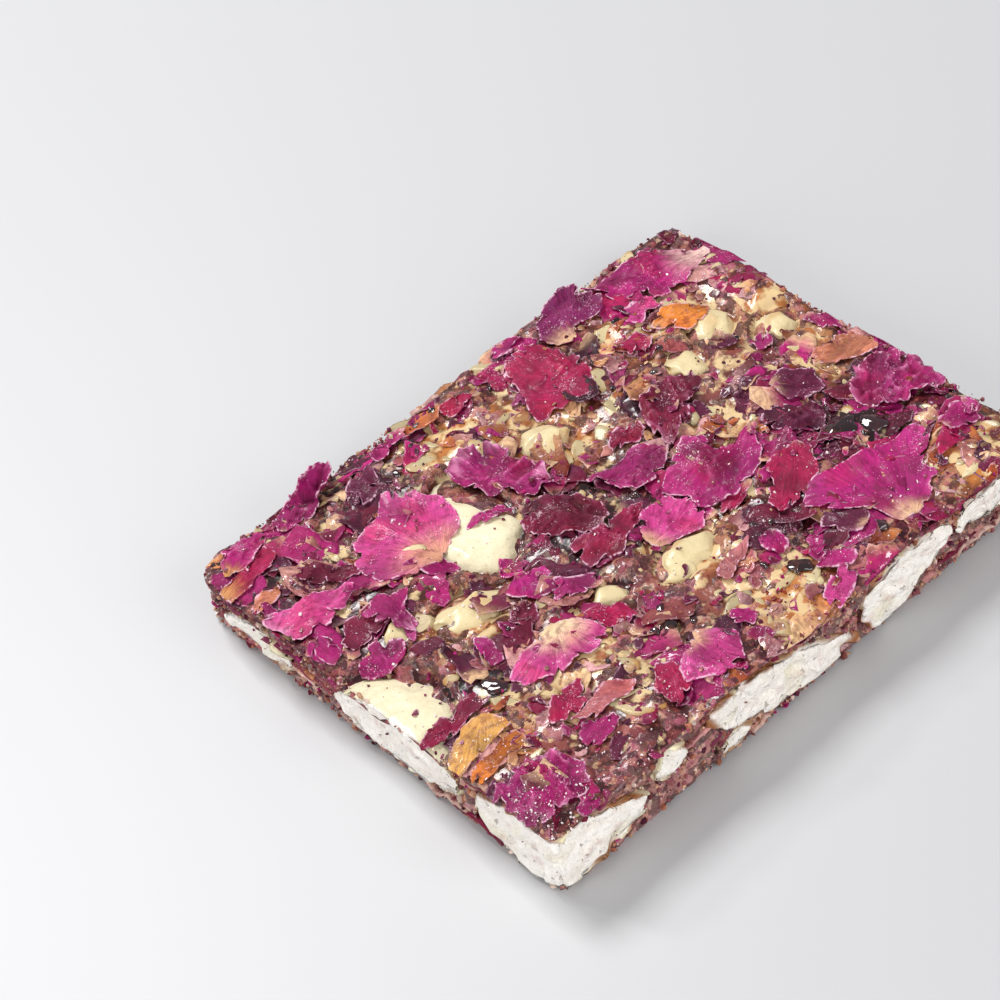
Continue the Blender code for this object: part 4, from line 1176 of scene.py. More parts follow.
    make_petal("petal_yellow_glazed", YELLOW, (
        (-33.1, -14.2), (-30.0, -14.6), (-26.4, -13.8), (-27.2, -10.8), (-29.7, -10.4),
        (-32.8, -12.2)), claw=(-26, -10), reach=2.0, claw_colour=SALMON, rim=0.2,
        finish=glazed_petal, slot="petal_orange", seed=30)
    make_petal("petal_left_glossy", CRIMSON * 0.7, (
        (-33.1, -8.9), (-30.0, -10.1), (-25.6, -9.8), (-26.0, -8.0), (-31.0, -7.6)),
        claw=(-24, -9), reach=0.5, rim=0.3, finish=glazed_petal, slot="petal_crimson", seed=31)


# The torn scraps: hundreds of small pieces of petal that fill the gaps between the large ones,
# stuck down in the sugar at every angle. They are made in one batch for each of their colours.
SCRAP_GRIDS = ((18, 4), (12, 3))
SCRAP_THICKNESS = 0.09
DEEP_SCRAPS = ((120, (1.4, 3.2)), (150, (0.5, 1.4)))
UPPER_SCRAPS = ((340, (1.4, 3.7)), (240, (0.45, 1.2)))
LAST_SCRAPS = (130, (0.25, 0.9))
SCRAP_KINDS = {
    "plum": (PLUM, DARK, rgb(64, 14, 36), rgb(90, 26, 58)),
    "magenta": (MAGENTA, CRIMSON, VIOLET, rgb(150, 24, 88)),
    "dusty": (rgb(170, 92, 98), rgb(146, 70, 70), rgb(200, 136, 124), rgb(214, 160, 160),
              rgb(116, 56, 54)),
    "tan": (rgb(190, 112, 58), rgb(210, 158, 108), rgb(160, 70, 30), rgb(224, 186, 140),
            rgb(120, 36, 24)),
}
SCRAP_SLOTS = {"plum": "petal_dark", "magenta": "petal_magenta", "dusty": "petal_salmon",
               "tan": "petal_orange"}
SCRAP_SHADES = (0.58, 1.14)
CLAW_SHARE = 0.3
WRINKLES = (0.8, 0.16, 41)
CREASES = (1.3, 0.1, 43)


class Batch:
    """Many small shapes gathered into one mesh, each with its own colour."""

    def __init__(self):
        self.points, self.quads, self.triangles = [], [], []
        self.tints, self.fans, self.edges = [], [], []
        self.count = 0

    def add(self, points, quads, triangles, tints, fans=None, edges=None):
        self.points.append(points)
        self.quads.append(np.asarray(quads).reshape(-1, 4) + self.count)
        self.triangles.append(np.asarray(triangles).reshape(-1, 3) + self.count)
        self.tints.append(np.clip(tints, 0, 1))
        self.fans.append(np.asarray(points) * 0.7 if fans is None else fans)
        self.edges.append(np.ones(len(points)) if edges is None else edges)
        self.count += len(points)

    def make(self, name, finish, slot, angular=False):
        mesh = mesh_from(
            name, np.concatenate(self.points), np.concatenate(self.quads),
            np.concatenate(self.triangles))
        if angular:
            mesh.shade_flat()
        add_piece(name, mesh, finish, slot, np.concatenate(self.tints),
                  fan=np.concatenate(self.fans), edge=np.concatenate(self.edges))


def mostly_small(draw, sizes, power, count=None):
    """Random sizes between two, the small ones more often the higher the power."""
    return sizes[0] + (sizes[1] - sizes[0]) * draw.random(count) ** power


def scrap_shape(draw, radius, spokes):
    """A torn outline round the origin: three to six nearly straight sides, and toothed."""
    turn = np.arange(spokes) / spokes * math.tau
    sides = draw.integers(3, 7)
    facing = (np.arange(sides) + draw.uniform(-0.35, 0.35, sides)) / sides * math.tau
    away = draw.uniform(0.5, 0.95, sides)
    towards = np.maximum(np.cos(turn[:, None] - facing), 0.25)
    reach = np.minimum((away / towards).min(1), 1.5) * draw.uniform(0.84, 1.1, spokes)
    flat = np.stack([np.cos(turn), np.sin(turn) * draw.uniform(0.45, 1.0)], -1)
    return flat * (radius * reach)[:, None]


def add_scrap(batch, draw, x, y, radius, palette, lift):
    """One scrap laid at a place of the ground, tilted and curled a little."""
    spokes, rings = SCRAP_GRIDS[0] if radius > 0.8 else SCRAP_GRIDS[1]
    shares = np.linspace(0, 1, rings + 1)[:, None]
    shape = scrap_shape(draw, radius, spokes)
    local = shape * shares[..., None]
    plan = turned(local, draw.uniform(0, math.tau)) + [x, y]
    plan = np.clip(plan, -EDGE_LIMIT, EDGE_LIMIT)
    bend = draw.uniform(-0.12, 0.22) * lift / radius
    slope = draw.uniform(0.0, 0.22) * lift
    tilt = turned(plan - [x, y], draw.uniform(0, math.tau))[..., 0] * slope
    wrinkle = swells(plan, [WRINKLES]) + CREASES[1] * ridges(plan, CREASES[0], CREASES[2])
    rise = bend * local[..., 1] ** 2 + tilt + wrinkle * lift
    low = ground.rest(plan[..., 0], plan[..., 1], 0.0, 0.2 + 0.2 * radius)
    height = low + rise + SCRAP_THICKNESS
    height = np.maximum(height, ground.at(plan[..., 0], plan[..., 1]) - 0.06)
    grid = np.concatenate([plan, height[..., None]], -1)
    grid[0] = grid[0].mean(0)
    points = thin_sheet(grid, SCRAP_THICKNESS)
    ground.lay(fill_between(grid, 3))
    first, second = palette[draw.integers(len(palette))], palette[draw.integers(len(palette))]
    along = fade(local[..., 0] / radius, -1.0, 1.0)[..., None]
    tint = (first * (1 - along) + second * along) * draw.uniform(*SCRAP_SHADES)
    if draw.random() < CLAW_SHARE:
        claw = fade(local[..., 0] / radius, 0.1, 0.9)[..., None]
        tint = tint + (CREAM * draw.uniform(0.8, 1.0) - tint) * claw
    fan = np.concatenate([local * [2.4, 0.8], np.full(tint.shape[:2] + (1,), x)], -1)
    edge = (np.linalg.norm(shape, axis=1) * (1 - shares))[..., None]
    batch.add(points, *disc_faces(spokes, rings), disc_rows(tint), disc_rows(fan),
              disc_rows(edge)[:, 0])


def kind_at(draw, x, y):
    """The usual kinds of scrap in each zone of the top."""
    tan, dark, dusty = zone_shares(np.array(x), np.array(y))
    weights = np.array([
        0.22 + 0.6 * dark, 0.54 * (1 - 0.7 * tan), 0.16 + 0.4 * dusty + 0.12 * tan,
        0.06 + 0.5 * tan + 0.05 * dusty])
    return list(SCRAP_KINDS)[draw.choice(4, p=weights / weights.sum())]


def over_nut(x, y, radius):
    """Whether a scrap here would hide a nut that lies in the top."""
    turn = np.arange(8) / 8 * math.tau
    around_x = x + 0.7 * radius * np.cos(turn)
    around_y = y + 0.7 * radius * np.sin(turn)
    points = np.stack([around_x, around_y, ground.at(around_x, around_y) - 0.25], -1)
    return (depth_in_nuts(points) < 1).any()


def strew_scraps(batches, draw, count, sizes, on_nuts, lift):
    made = 0
    while made < count:
        x = draw.uniform(-LENGTH / 2, LENGTH / 2)
        y = draw.uniform(-WIDTH / 2, WIDTH / 2)
        x, y = map(float, round_corners(x, y))
        radius = mostly_small(draw, sizes, 1.8)
        if over_nut(x, y, radius) and draw.random() > on_nuts:
            continue
        kind = kind_at(draw, x, y)
        add_scrap(batches[kind], draw, x, y, radius, SCRAP_KINDS[kind], lift)
        made += 1


# The sugar glass: boiled sugar that filled the hollows between the scraps and round the nuts,
# clear amber over nut dust and nearly black where it is deep. It set with a smooth wet surface.
GLASS_SPREAD = 0.75
GLASS_INSET = 0.7
SHORE = 0.03
STEEP = (0.5, 0.9)
NUT_COVER = 0.35
HIDDEN = 0.4
POOL_EDGE = ((1.6, 0.5, 44),)

# The deeper pools: centre x and y, radius and depth
POOLS = (
    (21.5, -12.0, 3.2, 0.75), (-24.0, -7.4, 2.2, 0.4), (12.4, -15.8, 2.2, 0.4),
    (1.5, -24.0, 2.2, 0.5), (-19.5, -2.0, 2.4, 0.45), (29.4, -14.4, 2.2, 0.4),
    (-3.6, 19.0, 2.4, 0.35), (14.0, -23.6, 1.8, 0.3), (-5.6, 4.0, 1.4, 0.3),
    (8.0, -11.4, 1.8, 0.4), (-9.6, -15.8, 1.8, 0.35), (22.0, 4.0, 3.0, 0.4),
    (30.6, 9.0, 1.6, 0.35), (-1.0, -13.4, 1.8, 0.3), (19.6, -1.4, 2.4, 0.35),
)
GLASS_COLOUR = rgb(84, 24, 36)
GLASS_COLOURS = (rgb(190, 118, 56), rgb(22, 10, 14), rgb(136, 72, 66))
GLASS_DEEP = rgb(34, 9, 16)
GLASS_FLECK = rgb(178, 100, 84)
GLASS_CREAM = rgb(224, 196, 148)


def glass_level():
    """Height of the sugar glass: the scraps' mean height, more in the pools, less on slopes."""
    level = blurred(ground.heights, GLASS_SPREAD)
    for pool_x, pool_y, radius, depth in POOLS:
        reach = np.hypot(ground.x - pool_x, ground.y - pool_y) / radius
        reach = reach + swells(np.stack([ground.x, ground.y], -1), POOL_EDGE)
        level = level + depth * fade(reach, 1.15, 0.5)
    slope = np.hypot(*np.gradient(level, GROUND_STEP))
    on_nut = nut_tops(ground.x, ground.y) > ground.heights - NUT_COVER
    hidden = np.maximum(fade(slope, *STEEP), blurred(on_nut * 1.0, GROUND_STEP))
    return level - HIDDEN * hidden


def make_glass():
    level = glass_level()
    shown = (slice(None, None, 2),) * 2
    x, y, level, low = (a[shown] for a in (ground.x, ground.y, level, ground.heights))
    wet = (level > low - SHORE) & on_slab(x, y, GLASS_INSET)
    use = wet[:-1, :-1] | wet[1:, :-1] | wet[1:, 1:] | wet[:-1, 1:]
    use[1:] |= use[:-1]
    use[:-1] |= use[1:]
    use[:, 1:] |= use[:, :-1]
    use[:, :-1] |= use[:, 1:]
    number = np.arange(x.size).reshape(x.shape)
    corners = [number[:-1, :-1], number[1:, :-1], number[1:, 1:], number[:-1, 1:]]
    quads = np.stack([c[use] for c in corners], -1)
    kept, quads = np.unique(quads, return_inverse=True)
    points = np.stack([x, y, level], -1).reshape(-1, 3)[kept]
    tints = np.tile(GLASS_COLOUR, (len(points), 1))
    shares = zone_shares(points[:, 0], points[:, 1])
    for share, colour in zip(np.moveaxis(shares, -1, 0), GLASS_COLOURS):
        tints = tints + (colour - tints) * share[:, None]
    mesh = mesh_from("sugar_glass", points, quads)
    r = Recipe("sugar glass", Roughness=0.24, Coat_Weight=0.15, Coat_Roughness=0.08)
    place = r.node("NewGeometry", {}, {})
    depth = r.step(r.grain(1.6, 4.0, place), 0.42, 0.56)
    tan = r.attribute("tan", 2)
    depth = depth * (0.8 - tan * 0.6)
    tint = r.mix(depth, r.attribute("tint"), opaque(GLASS_DEEP))
    fleck = r.step(r.grain(0.7, 4.0, place), 0.56, 0.72)
    tint = r.mix(fleck * 0.55, tint, opaque(GLASS_FLECK))
    cream = r.step(r.grain(2.0, 4.0, place) + tan * 0.16, 0.56, 0.7)
    tint = r.mix(cream * 0.9, tint, opaque(GLASS_CREAM))
    relief = r.grain(1.3, 2.0, place)
    add_piece("sugar_glass", mesh,
              r.feed(Base_Color=tint, Normal=r.bumps(relief, 0.16)), "sugar_brittle", tints,
              tan=shares[:, 0])
    inside = on_slab(ground.x, ground.y, GLASS_INSET)
    np.maximum(ground.heights, np.where(inside, glass_level(), 0), out=ground.heights)


# The beads: drops of boiled sugar, nearly black and very glossy, that set on top of the mix in
# the gaps between the petals and nuts, and hold there by their own sugar.

# Each bead that shows: centre x and y, and half its length and width
BEADS = (
    (5.0, -20.1, 1.4, 0.8), (-24.0, -8.8, 1.3, 0.9), (20.4, -11.0, 1.8, 1.2),
    (23.4, -12.8, 1.4, 0.9), (-2.0, -0.2, 0.9, 0.7), (8.6, -12.4, 1.1, 0.7),
    (-9.4, -4.6, 0.8, 0.6), (12.9, -23.2, 0.9, 0.7), (-18.6, -8.6, 0.8, 0.6),
    (18.0, -6.0, 0.9, 0.6), (2.2, -7.4, 0.7, 0.5), (-8.4, -16.2, 1.0, 0.7),
)
SMALL_BEADS = 70
SMALL_BEAD_SIZES = (0.2, 0.55)
BEAD_HEIGHT = 0.16
BEAD_BULGE = 0.2
BEAD_COLOUR = rgb(34, 16, 22)
BEAD_BROWN = rgb(120, 60, 40)


def ball(subdivisions):
    """The points and triangles of a ball of radius 1."""
    bm = bmesh.new()
    bmesh.ops.create_icosphere(bm, subdivisions=subdivisions, radius=1.0)
    points = np.array([v.co for v in bm.verts])
    triangles = np.array([[v.index for v in f.verts] for f in bm.faces])
    bm.free()
    return points, triangles


def make_beads():
    draw = np.random.default_rng(15)
    batch = Batch()
    shape, triangles = ball(3)
    small = [(draw.uniform(-0.48, 0.48) * LENGTH, draw.uniform(-0.48, 0.48) * WIDTH,
              *draw.uniform(*SMALL_BEAD_SIZES, 2)) for _ in range(SMALL_BEADS)]
    for x, y, length, width in (*BEADS, *small):
        if not on_slab(x, y, length):
            continue
        around_x = x + length * np.array([0, -1, 1, 0, 0])
        around_y = y + length * np.array([0, 0, 0, -1, 1])
        if ground.covered[ground.cells(around_x, around_y)].any() or over_nut(x, y, length):
            continue
        local = shape * [length, width, BEAD_HEIGHT + BEAD_BULGE * min(length, width)]
        local = local * (1 + 0.5 * swell(shape + x, 0.8, 73))[:, None]
        height = ground.rest(np.array([x]), np.array([y]), 0.0, 0.4)[0]
        turn = Matrix.Rotation(draw.uniform(0, math.tau), 3, "Z")
        points = local @ np.array(turn).T + [x, y, height + 0.05]
        batch.add(points, np.zeros((0, 4), int), triangles,
                  np.tile(BEAD_COLOUR * draw.uniform(0.6, 2.2), (len(points), 1)))
        ground.lay(points[points[:, 2] > height])
    r = Recipe("sugar beads", Roughness=0.06, Coat_Weight=0.8, Coat_Roughness=0.03)
    tint = r.mix(r.step(r.grain(0.8, 2.0), 0.5, 0.7) * 0.3, r.attribute("tint"),
                 opaque(BEAD_BROWN))
    batch.make("sugar_beads", r.feed(Base_Color=tint), "sugar_brittle")


# The chips of nut: splinters and slivers of almond, cream inside and amber where the sugar
# coats them, half sunk in the mix between the petals and thickest in its tan zones.
CHIPS = 170
CHIP_RADII = (0.6, 2.9)
CHIP_FACETS = 9
CHIP_INSETS = (0.45, 0.8)
CHIP_WIDTHS = (0.45, 0.8)
CHIP_HEIGHTS = (0.3, 0.5)
CHIP_TILT = 0.35


def make_chips():
    draw = np.random.default_rng(14)
    batch = Batch()
    shape, triangles = ball(3)
    made = 0
    while made < CHIPS:
        x = draw.uniform(-LENGTH / 2 + 1, LENGTH / 2 - 1)
        y = draw.uniform(-WIDTH / 2 + 1, WIDTH / 2 - 1)
        tan = zone_shares(np.array(x), np.array(y))[0]
        radius = mostly_small(draw, CHIP_RADII, 2)
        if draw.random() > 0.2 + tan or over_nut(x, y, radius) or not on_slab(x, y, 1.0):
            continue
        local = shape * (1 + 0.15 * swell(shape + made, 0.5, 72))[:, None]
        for _ in range(CHIP_FACETS):
            facing = draw.normal(size=3)
            facing /= np.linalg.norm(facing)
            past = np.maximum(local @ facing - draw.uniform(*CHIP_INSETS), 0)
            local = local - past[:, None] * facing
        local = local * [1, draw.uniform(*CHIP_WIDTHS), draw.uniform(*CHIP_HEIGHTS)] * radius
        flat_top = draw.uniform(0.12, 0.25) + 0.2 * local[:, 0] * draw.uniform(-1, 1)
        local[:, 2] = np.minimum(local[:, 2], flat_top)
        turn = Matrix.Rotation(draw.uniform(0, math.tau), 3, "Z") @ Matrix.Rotation(
            draw.uniform(-CHIP_TILT, CHIP_TILT), 3, "X")
        height = ground.rest(np.array([x]), np.array([y]), 0.0, 0.6)[0]
        points = local @ np.array(turn).T + [x, y, height - 0.06 * radius]
        corners = points[triangles]
        ground.lay(np.concatenate([points, corners.mean(1), corners[:, :2].mean(1)]))
        out = np.linalg.norm(local[:, :2], axis=1) / radius
        amber = (fade(out, 0.35, 0.95) * fade(local[:, 0] / radius, -0.9, 0.7))[:, None]
        amber = np.clip(amber + 0.4 * draw.random() ** 3, 0, 1)
        tint = NUT_GLAZED * draw.uniform(0.56, 0.94) * (1 - amber) + NUT_AMBER * amber * 0.8
        batch.add(points, np.zeros((0, 4), int), triangles, tint)
        made += 1
    batch.make("almond_chips", nut_finish("nut chips"), "almond_glazed")


# The toppings go on in the order in which they lie, from the deepest up, and each rests on
# what is already there.
def strew_top():
    """Scraps and chips, sugar glass, more scraps, petals and beads, and a few scraps on top."""
    draw = np.random.default_rng(5)
    batches = {kind: Batch() for kind in SCRAP_KINDS}
    for count, sizes in DEEP_SCRAPS:
        strew_scraps(batches, draw, count, sizes, 0.0, 1.0)
    make_chips()
    make_glass()
    for count, sizes in UPPER_SCRAPS:
        strew_scraps(batches, draw, count, sizes, 0.12, 1.3)
    strew_small_petals()
    strew_large_petals()
    make_beads()
    strew_scraps(batches, draw, *LAST_SCRAPS, 0.3, 1.2)
    finish = petal_finish("torn scraps", 0.7)
    for kind, batch in batches.items():
        batch.make(f"scraps_{kind}", finish, SCRAP_SLOTS[kind])


strew_top()


# The crumbs: petal dust, nut dust and broken sugar, stuck all over the top and between the nuts
# of the cut sides, and white sugar grains that were scattered last.
CRUMBS_ON_TOP = 3200
CRUMB_SIZES = (0.05, 0.27)
ON_NUTS = 0.1
ON_PETALS = 0.03
GRAINS = 2000
POWDER = 500
GRAIN_SIZES = (0.03, 0.17)
GRAIN_DRIFT = 8.0
POWDER_DRIFTS = (6.0, 5.0)
GRAIN_WHITE = rgb(244, 228, 228)
GRAIN_PINK = rgb(228, 206, 200)
CRUMB_COLOURS = np.array([
    PLUM, DARK, rgb(66, 22, 36), MAGENTA, rgb(150, 84, 88), rgb(120, 60, 52), rgb(176, 110, 84),
    rgb(206, 160, 130), rgb(226, 200, 184), VIOLET])
CRUMB_CHANCES = np.array([0.18, 0.16, 0.14, 0.13, 0.1, 0.08, 0.07, 0.05, 0.04, 0.05])


def random_turns(draw, count):
    """Random rotation matrices, from random quaternions."""
    q = draw.normal(size=(count, 4))
    w, x, y, z = (q / np.linalg.norm(q, axis=1, keepdims=True)).T
    return np.stack([
        np.stack([1 - 2 * (y * y + z * z), 2 * (x * y - z * w), 2 * (x * z + y * w)], -1),
        np.stack([2 * (x * y + z * w), 1 - 2 * (x * x + z * z), 2 * (y * z - x * w)], -1),
        np.stack([2 * (x * z - y * w), 2 * (y * z + x * w), 1 - 2 * (x * x + y * y)], -1),
    ], 1)


def add_lumps(batch, draw, places, sizes, tints):
    """Small uneven lumps at places, of given sizes and colours."""
    shape, triangles = ball(1)
    count = len(places)
    uneven = shape[None] * draw.uniform(0.6, 1.25, (count, len(shape), 1))
    uneven = uneven * draw.uniform(0.45, 1.2, (count, 1, 3)) * sizes[:, None, None]
    points = np.einsum("nij,nkj->nki", random_turns(draw, count), uneven) + places[:, None]
    faces = triangles[None] + (np.arange(count) * len(shape))[:, None, None]
    batch.add(points.reshape(-1, 3), np.zeros((0, 4), int), faces.reshape(-1, 3),
              np.repeat(tints, len(shape), 0))


def crumb_tints(draw, count, chances):
    picked = CRUMB_COLOURS[draw.choice(len(CRUMB_COLOURS), count, p=chances / chances.sum())]
    return picked * draw.uniform(0.65, 1.2, (count, 1))


def strew_crumbs():
    draw = np.random.default_rng(6)
    batch = Batch()
    x = draw.uniform(-LENGTH / 2, LENGTH / 2, CRUMBS_ON_TOP)
    y = draw.uniform(-WIDTH / 2, WIDTH / 2, CRUMBS_ON_TOP)
    x, y = round_corners(x, y)
    hollow = ground.rest(x, y, 0.0, 1.6) - ground.at(x, y)
    nuts = depth_in_nuts(np.stack([x, y, ground.at(x, y) - 0.3], -1))
    keep = (draw.random(len(x)) < fade(hollow, -0.35, 0.15)) & (
        (nuts > 1) | (draw.random(len(x)) < ON_NUTS))
    keep &= ~ground.covered[ground.cells(x, y)] | (draw.random(len(x)) < ON_PETALS)
    x, y = x[keep], y[keep]
    sizes = mostly_small(draw, CRUMB_SIZES, 2.5, len(x))
    places = np.stack([x, y, ground.at(x, y) + 0.2 * sizes], -1)
    add_lumps(batch, draw, places, sizes, crumb_tints(draw, len(x), CRUMB_CHANCES))
    batch.make("crumbs_top", petal_finish("crumbs", 0.5), "petal_dark", True)

    sugar = Batch()
    x = draw.uniform(-LENGTH / 2, LENGTH / 2, GRAINS)
    y = draw.uniform(-WIDTH / 2, WIDTH / 2, GRAINS)
    near_edge = draw.random(GRAINS) < 0.3
    x = np.where(near_edge & (draw.random(GRAINS) < 0.5),
                 -LENGTH / 2 + draw.exponential(GRAIN_DRIFT, GRAINS), x)
    y = np.where(near_edge, -WIDTH / 2 + draw.exponential(GRAIN_DRIFT, GRAINS), y)
    x = np.append(x, -LENGTH / 2 + draw.exponential(POWDER_DRIFTS[0], POWDER))
    y = np.append(y, -WIDTH / 2 + draw.exponential(POWDER_DRIFTS[1], POWDER))
    x, y = round_corners(
        np.clip(x, -LENGTH / 2, LENGTH / 2), np.clip(y, -WIDTH / 2, WIDTH / 2))
    sizes = mostly_small(draw, GRAIN_SIZES, 7, GRAINS + POWDER)
    places = np.stack([x, y, ground.at(x, y) + 0.5 * sizes], -1)
    add_lumps(sugar, draw, places, sizes, np.tile(GRAIN_WHITE, (GRAINS + POWDER, 1)))
    r = Recipe("sugar grains", Roughness=0.25, Specular_IOR_Level=0.6)
    glint = r.step(r.grain(0.2, 1.0), 0.3, 0.7)
    tint = r.mix(glint * 0.25, r.attribute("tint"), opaque(GRAIN_PINK))
    sugar.make("sugar_grains", r.feed(Base_Color=tint), "almond_cut", True)


strew_crumbs()


# The cut sides: where the knife went through the crumb it shows wavy lines of pressed petals,
# edge on, among crumbs of every colour. The nuts' white faces are left bare but for a few specks.
CRUMBS_ON_SIDES = 7600
SIDE_CRUMB_SIZES = (0.08, 0.48)
BED = -0.38
BED_DEPTH = 0.18
ON_CUT = -0.04
SIDE_CRUMB_CHANCES = np.array([0.06, 0.04, 0.05, 0.03, 0.2, 0.1, 0.16, 0.18, 0.16, 0.02])
STRANDS = 110
STRAND_POINTS = 14
STRAND_LENGTHS = (1.5, 7.5)
STRAND_FROM_END = 0.8
STRAND_ROOT = -0.7
STRAND_CHANCES = (0.28, 0.22, 0.28, 0.22)
STRAND_WAVES = ((1.5, 0.9, 51), (0.6, 0.3, 52))
STRAND_COLOURS = (
    rgb(170, 96, 104), rgb(200, 140, 136), rgb(132, 44, 80), DARK, rgb(186, 124, 84),
    rgb(140, 66, 76), rgb(222, 184, 170), PLUM, rgb(150, 74, 96),
)

# Each cut side: the way it faces, the way along it, how far out it lies, and its length
SIDES = (
    (Vector((0, -1, 0)), Vector((1, 0, 0)), WIDTH / 2, LENGTH),
    (Vector((-1, 0, 0)), Vector((0, -1, 0)), LENGTH / 2, WIDTH),
    (Vector((0, 1, 0)), Vector((-1, 0, 0)), WIDTH / 2, LENGTH),
    (Vector((1, 0, 0)), Vector((0, 1, 0)), LENGTH / 2, WIDTH),
)


def side_points(side, along, height, out):
    """Points on a cut side, by their place along it, their height and how far they stand out."""
    outward, forward, distance, _ = side
    flat = np.asarray(along)[..., None] * np.array(forward) + distance * np.array(outward)
    x, y = round_corners(flat[..., 0], flat[..., 1])
    return np.stack([x, y, height + 0 * x], -1) + np.asarray(out)[..., None] * np.array(outward)


def make_side_crumbs():
    draw = np.random.default_rng(8)
    batch = Batch()
    for side in SIDES:
        count = int(CRUMBS_ON_SIDES * side[3] / (2 * (LENGTH + WIDTH)))
        along = draw.uniform(-0.49, 0.49, count) * side[3]
        flat = side_points(side, along, np.zeros(count), np.zeros(count))
        top = top_plane(flat[:, 0], flat[:, 1])
        height = draw.uniform(0.04, 0.98, count) * top
        places = side_points(side, along, height, BED + BED_DEPTH * draw.random(count))
        nuts = depth_in_nuts(places)
        keep = (nuts > 0.99) | (draw.random(count) < 0.03)
        places = np.where((nuts < 0.99)[:, None],
                          side_points(side, along, height, np.full(count, ON_CUT)), places)[keep]
        sizes = mostly_small(draw, SIDE_CRUMB_SIZES, 3, len(places))
        sizes = np.where(nuts[keep] < 0.99, sizes * 0.5, sizes)
        add_lumps(batch, draw, places, sizes, crumb_tints(draw, len(places), SIDE_CRUMB_CHANCES))
    batch.make("crumbs_sides", petal_finish("side crumbs", 0.3), "petal_dark", True)


def make_strands():
    """Petals seen edge on: thin wavy ribbons that stand a little out of the crumb."""
    draw = np.random.default_rng(9)
    batch = Batch()
    for _ in range(STRANDS):
        side = SIDES[draw.choice(len(SIDES), p=STRAND_CHANCES)]
        steps = STRAND_POINTS
        length = mostly_small(draw, STRAND_LENGTHS, 1.6)
        reach = side[3] / 2 - STRAND_FROM_END
        start = draw.uniform(-reach, reach - length)
        along = start + length * np.linspace(0, 1, steps)
        middle = side_points(side, along, np.zeros(steps), np.zeros(steps))
        top = top_plane(middle[:, 0], middle[:, 1])
        line = np.stack([along, np.full(steps, draw.uniform(0, 99))], -1)
        height = draw.uniform(0.08, 0.95) * top + swells(line, STRAND_WAVES)
        height = np.clip(height, 0.15, top - 0.1)
        if depth_in_nuts(side_points(side, along, height, np.zeros(steps)))[steps // 2] < 1.03:
            continue
        thick = draw.uniform(0.05, 0.15) * np.sin(np.linspace(0.15, math.pi - 0.15, steps))
        out = draw.uniform(-0.12, 0.2)
        corners = [side_points(side, along, height + dz, np.full(steps, o))
                   for o, dz in ((STRAND_ROOT, thick), (out, thick), (out, -thick),
                                 (STRAND_ROOT, -thick))]
        points = np.stack(corners, 1).reshape(-1, 3)
        k = np.arange(steps - 1)[:, None] * 4
        c = np.arange(4)[None]
        n = (c + 1) % 4
        quads = np.stack([k + c, k + n, k + n + 4, k + c + 4], -1).reshape(-1, 4)
        ends = [[3, 2, 1, 0], [4 * steps - 4, 4 * steps - 3, 4 * steps - 2, 4 * steps - 1]]
        tint = STRAND_COLOURS[draw.integers(len(STRAND_COLOURS))] * draw.uniform(0.8, 1.2)
        batch.add(points, np.concatenate([quads, ends]), np.zeros((0, 3), int),
                  np.tile(tint, (len(points), 1)))
    batch.make("side_strands", petal_finish("petals edge on", 0.3), "petal_magenta")


make_side_crumbs()
make_strands()


# The stage: a plain pale floor, soft lights above and behind, weaker ones in front and on the
# left, and the camera at the photograph's angle, which was worked out from the corners of the
# slab's top.
FLOOR_SIZE = 3.0
FLOOR_TONES = (rgb(190, 190, 192), rgb(184, 184, 187))
WORLD_LIGHT = 0.32

# Each light: its name, its place in metres, its size and its power
LIGHTS = (
    ("key", (0.02, 0.36, 0.5), 0.2, 2.9),
    ("window", (-0.2, 0.5, 0.4), 0.06, 0.75),
    ("fill", (0.1, -0.5, 0.28), 0.4, 1.85),
    ("left fill", (-0.55, -0.1, 0.3), 0.4, 1.75),
)
CAMERA_TARGET = (26.125, 35.719)
CAMERA_ELEVATION = math.radians(43.482)
CAMERA_AZIMUTH = math.radians(-32.783)
CAMERA_ROLL = math.radians(-13.463)
CAMERA_DISTANCE = 315.155
CAMERA_LENS = 115.2
SENSOR = 36.0
CLIP = (0.01, 20.0)


def make_floor():
    bm = bmesh.new()
    bmesh.ops.create_grid(bm, x_segments=8, y_segments=8, size=FLOOR_SIZE / 2)
    mesh = bpy.data.meshes.new("floor")
    bm.to_mesh(mesh)
    bm.free()
    floor = bpy.data.objects.new("floor", mesh)
    bpy.context.scene.collection.objects.link(floor)
    r = Recipe("pale floor", Roughness=0.45)
    tone = r.mix(r.grain(40.0, 1.0) * 0.03, opaque(FLOOR_TONES[0]), opaque(FLOOR_TONES[1]))
    mesh.materials.append(r.feed(Base_Color=tone))


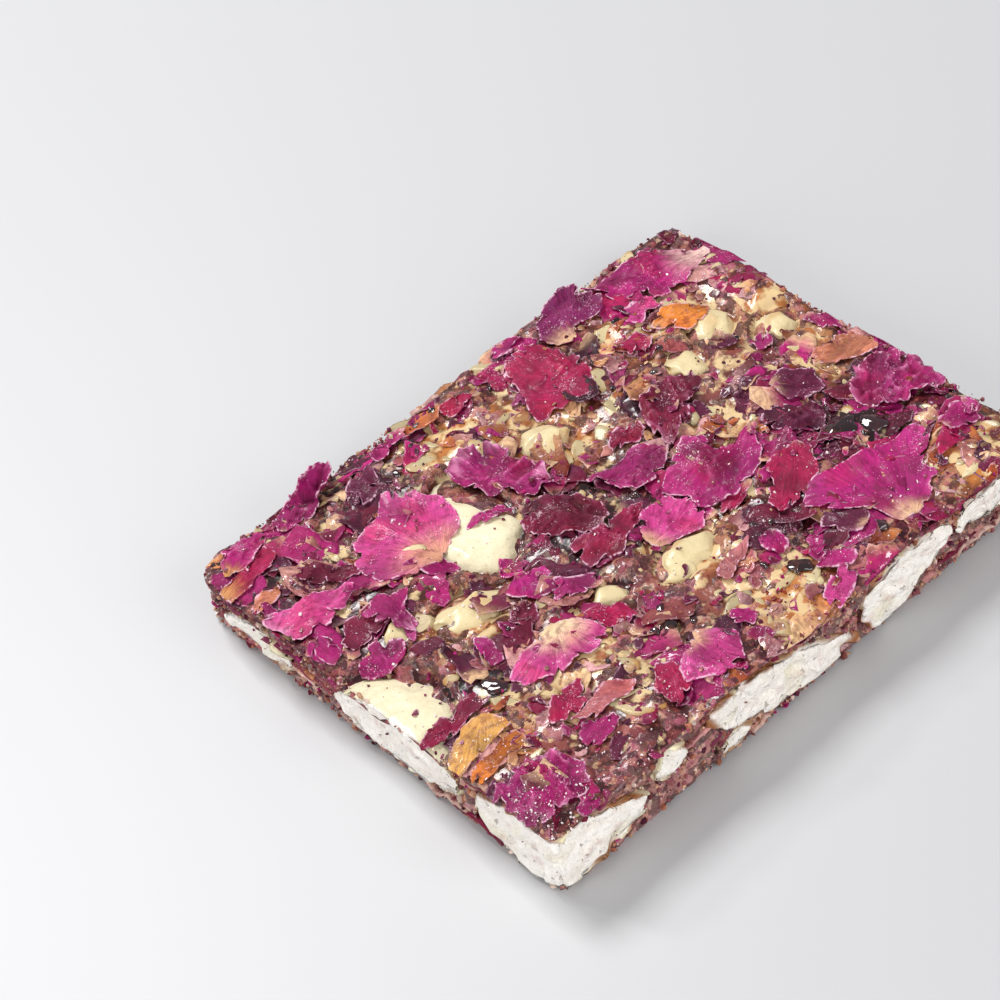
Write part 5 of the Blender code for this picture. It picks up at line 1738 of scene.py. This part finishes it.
def make_light(name, place, size, power):
    """A soft square light that faces the sweet."""
    light = bpy.data.lights.new(name, "AREA")
    light.size = size
    light.energy = power
    lamp = bpy.data.objects.new(name, light)
    lamp.location = place
    lamp.rotation_mode = "QUATERNION"
    lamp.rotation_quaternion = (-Vector(place)).to_track_quat("-Z", "Y")
    bpy.context.scene.collection.objects.link(lamp)


def make_camera():
    """The photograph's view, stated on the slab's sloping top with the near left corner as
    its origin, and turned into the part's frame."""
    normal = Vector((-SLOPE_X, -SLOPE_Y, 1)).normalized()
    along = Vector((1, 0, SLOPE_X)).normalized()
    across = normal.cross(along)
    corner = Vector((-LENGTH / 2, -WIDTH / 2, top_plane(-LENGTH / 2, -WIDTH / 2)))
    level = Matrix((along, across, normal)).transposed()
    flat = math.cos(CAMERA_ELEVATION)
    back = level @ Vector((
        math.sin(CAMERA_AZIMUTH) * flat, -math.cos(CAMERA_AZIMUTH) * flat,
        math.sin(CAMERA_ELEVATION)))
    right = level @ Vector((math.cos(CAMERA_AZIMUTH), math.sin(CAMERA_AZIMUTH), 0))
    up = back.cross(right)
    turned_right = right * math.cos(CAMERA_ROLL) + up * math.sin(CAMERA_ROLL)
    turned_up = -right * math.sin(CAMERA_ROLL) + up * math.cos(CAMERA_ROLL)
    target = corner + along * CAMERA_TARGET[0] + across * CAMERA_TARGET[1]
    turn = Matrix((turned_right, turned_up, back)).transposed()
    data = bpy.data.cameras.new("camera")
    data.sensor_width = SENSOR
    data.lens = CAMERA_LENS
    data.clip_start, data.clip_end = CLIP
    camera = bpy.data.objects.new("camera", data)
    camera.matrix_world = Matrix.Translation((target + back * CAMERA_DISTANCE) * MM) @ turn.to_4x4()
    bpy.context.scene.collection.objects.link(camera)
    bpy.context.scene.camera = camera


def make_world():
    world = bpy.data.worlds.new("studio")
    world.use_nodes = True
    background = world.node_tree.nodes["Background"]
    background.inputs["Color"].default_value = (1.0, 1.0, 1.0, 1.0)
    background.inputs["Strength"].default_value = WORLD_LIGHT
    bpy.context.scene.world = world
    bpy.context.scene.view_settings.view_transform = "Standard"


make_floor()
for light in LIGHTS:
    make_light(*light)
make_camera()
make_world()
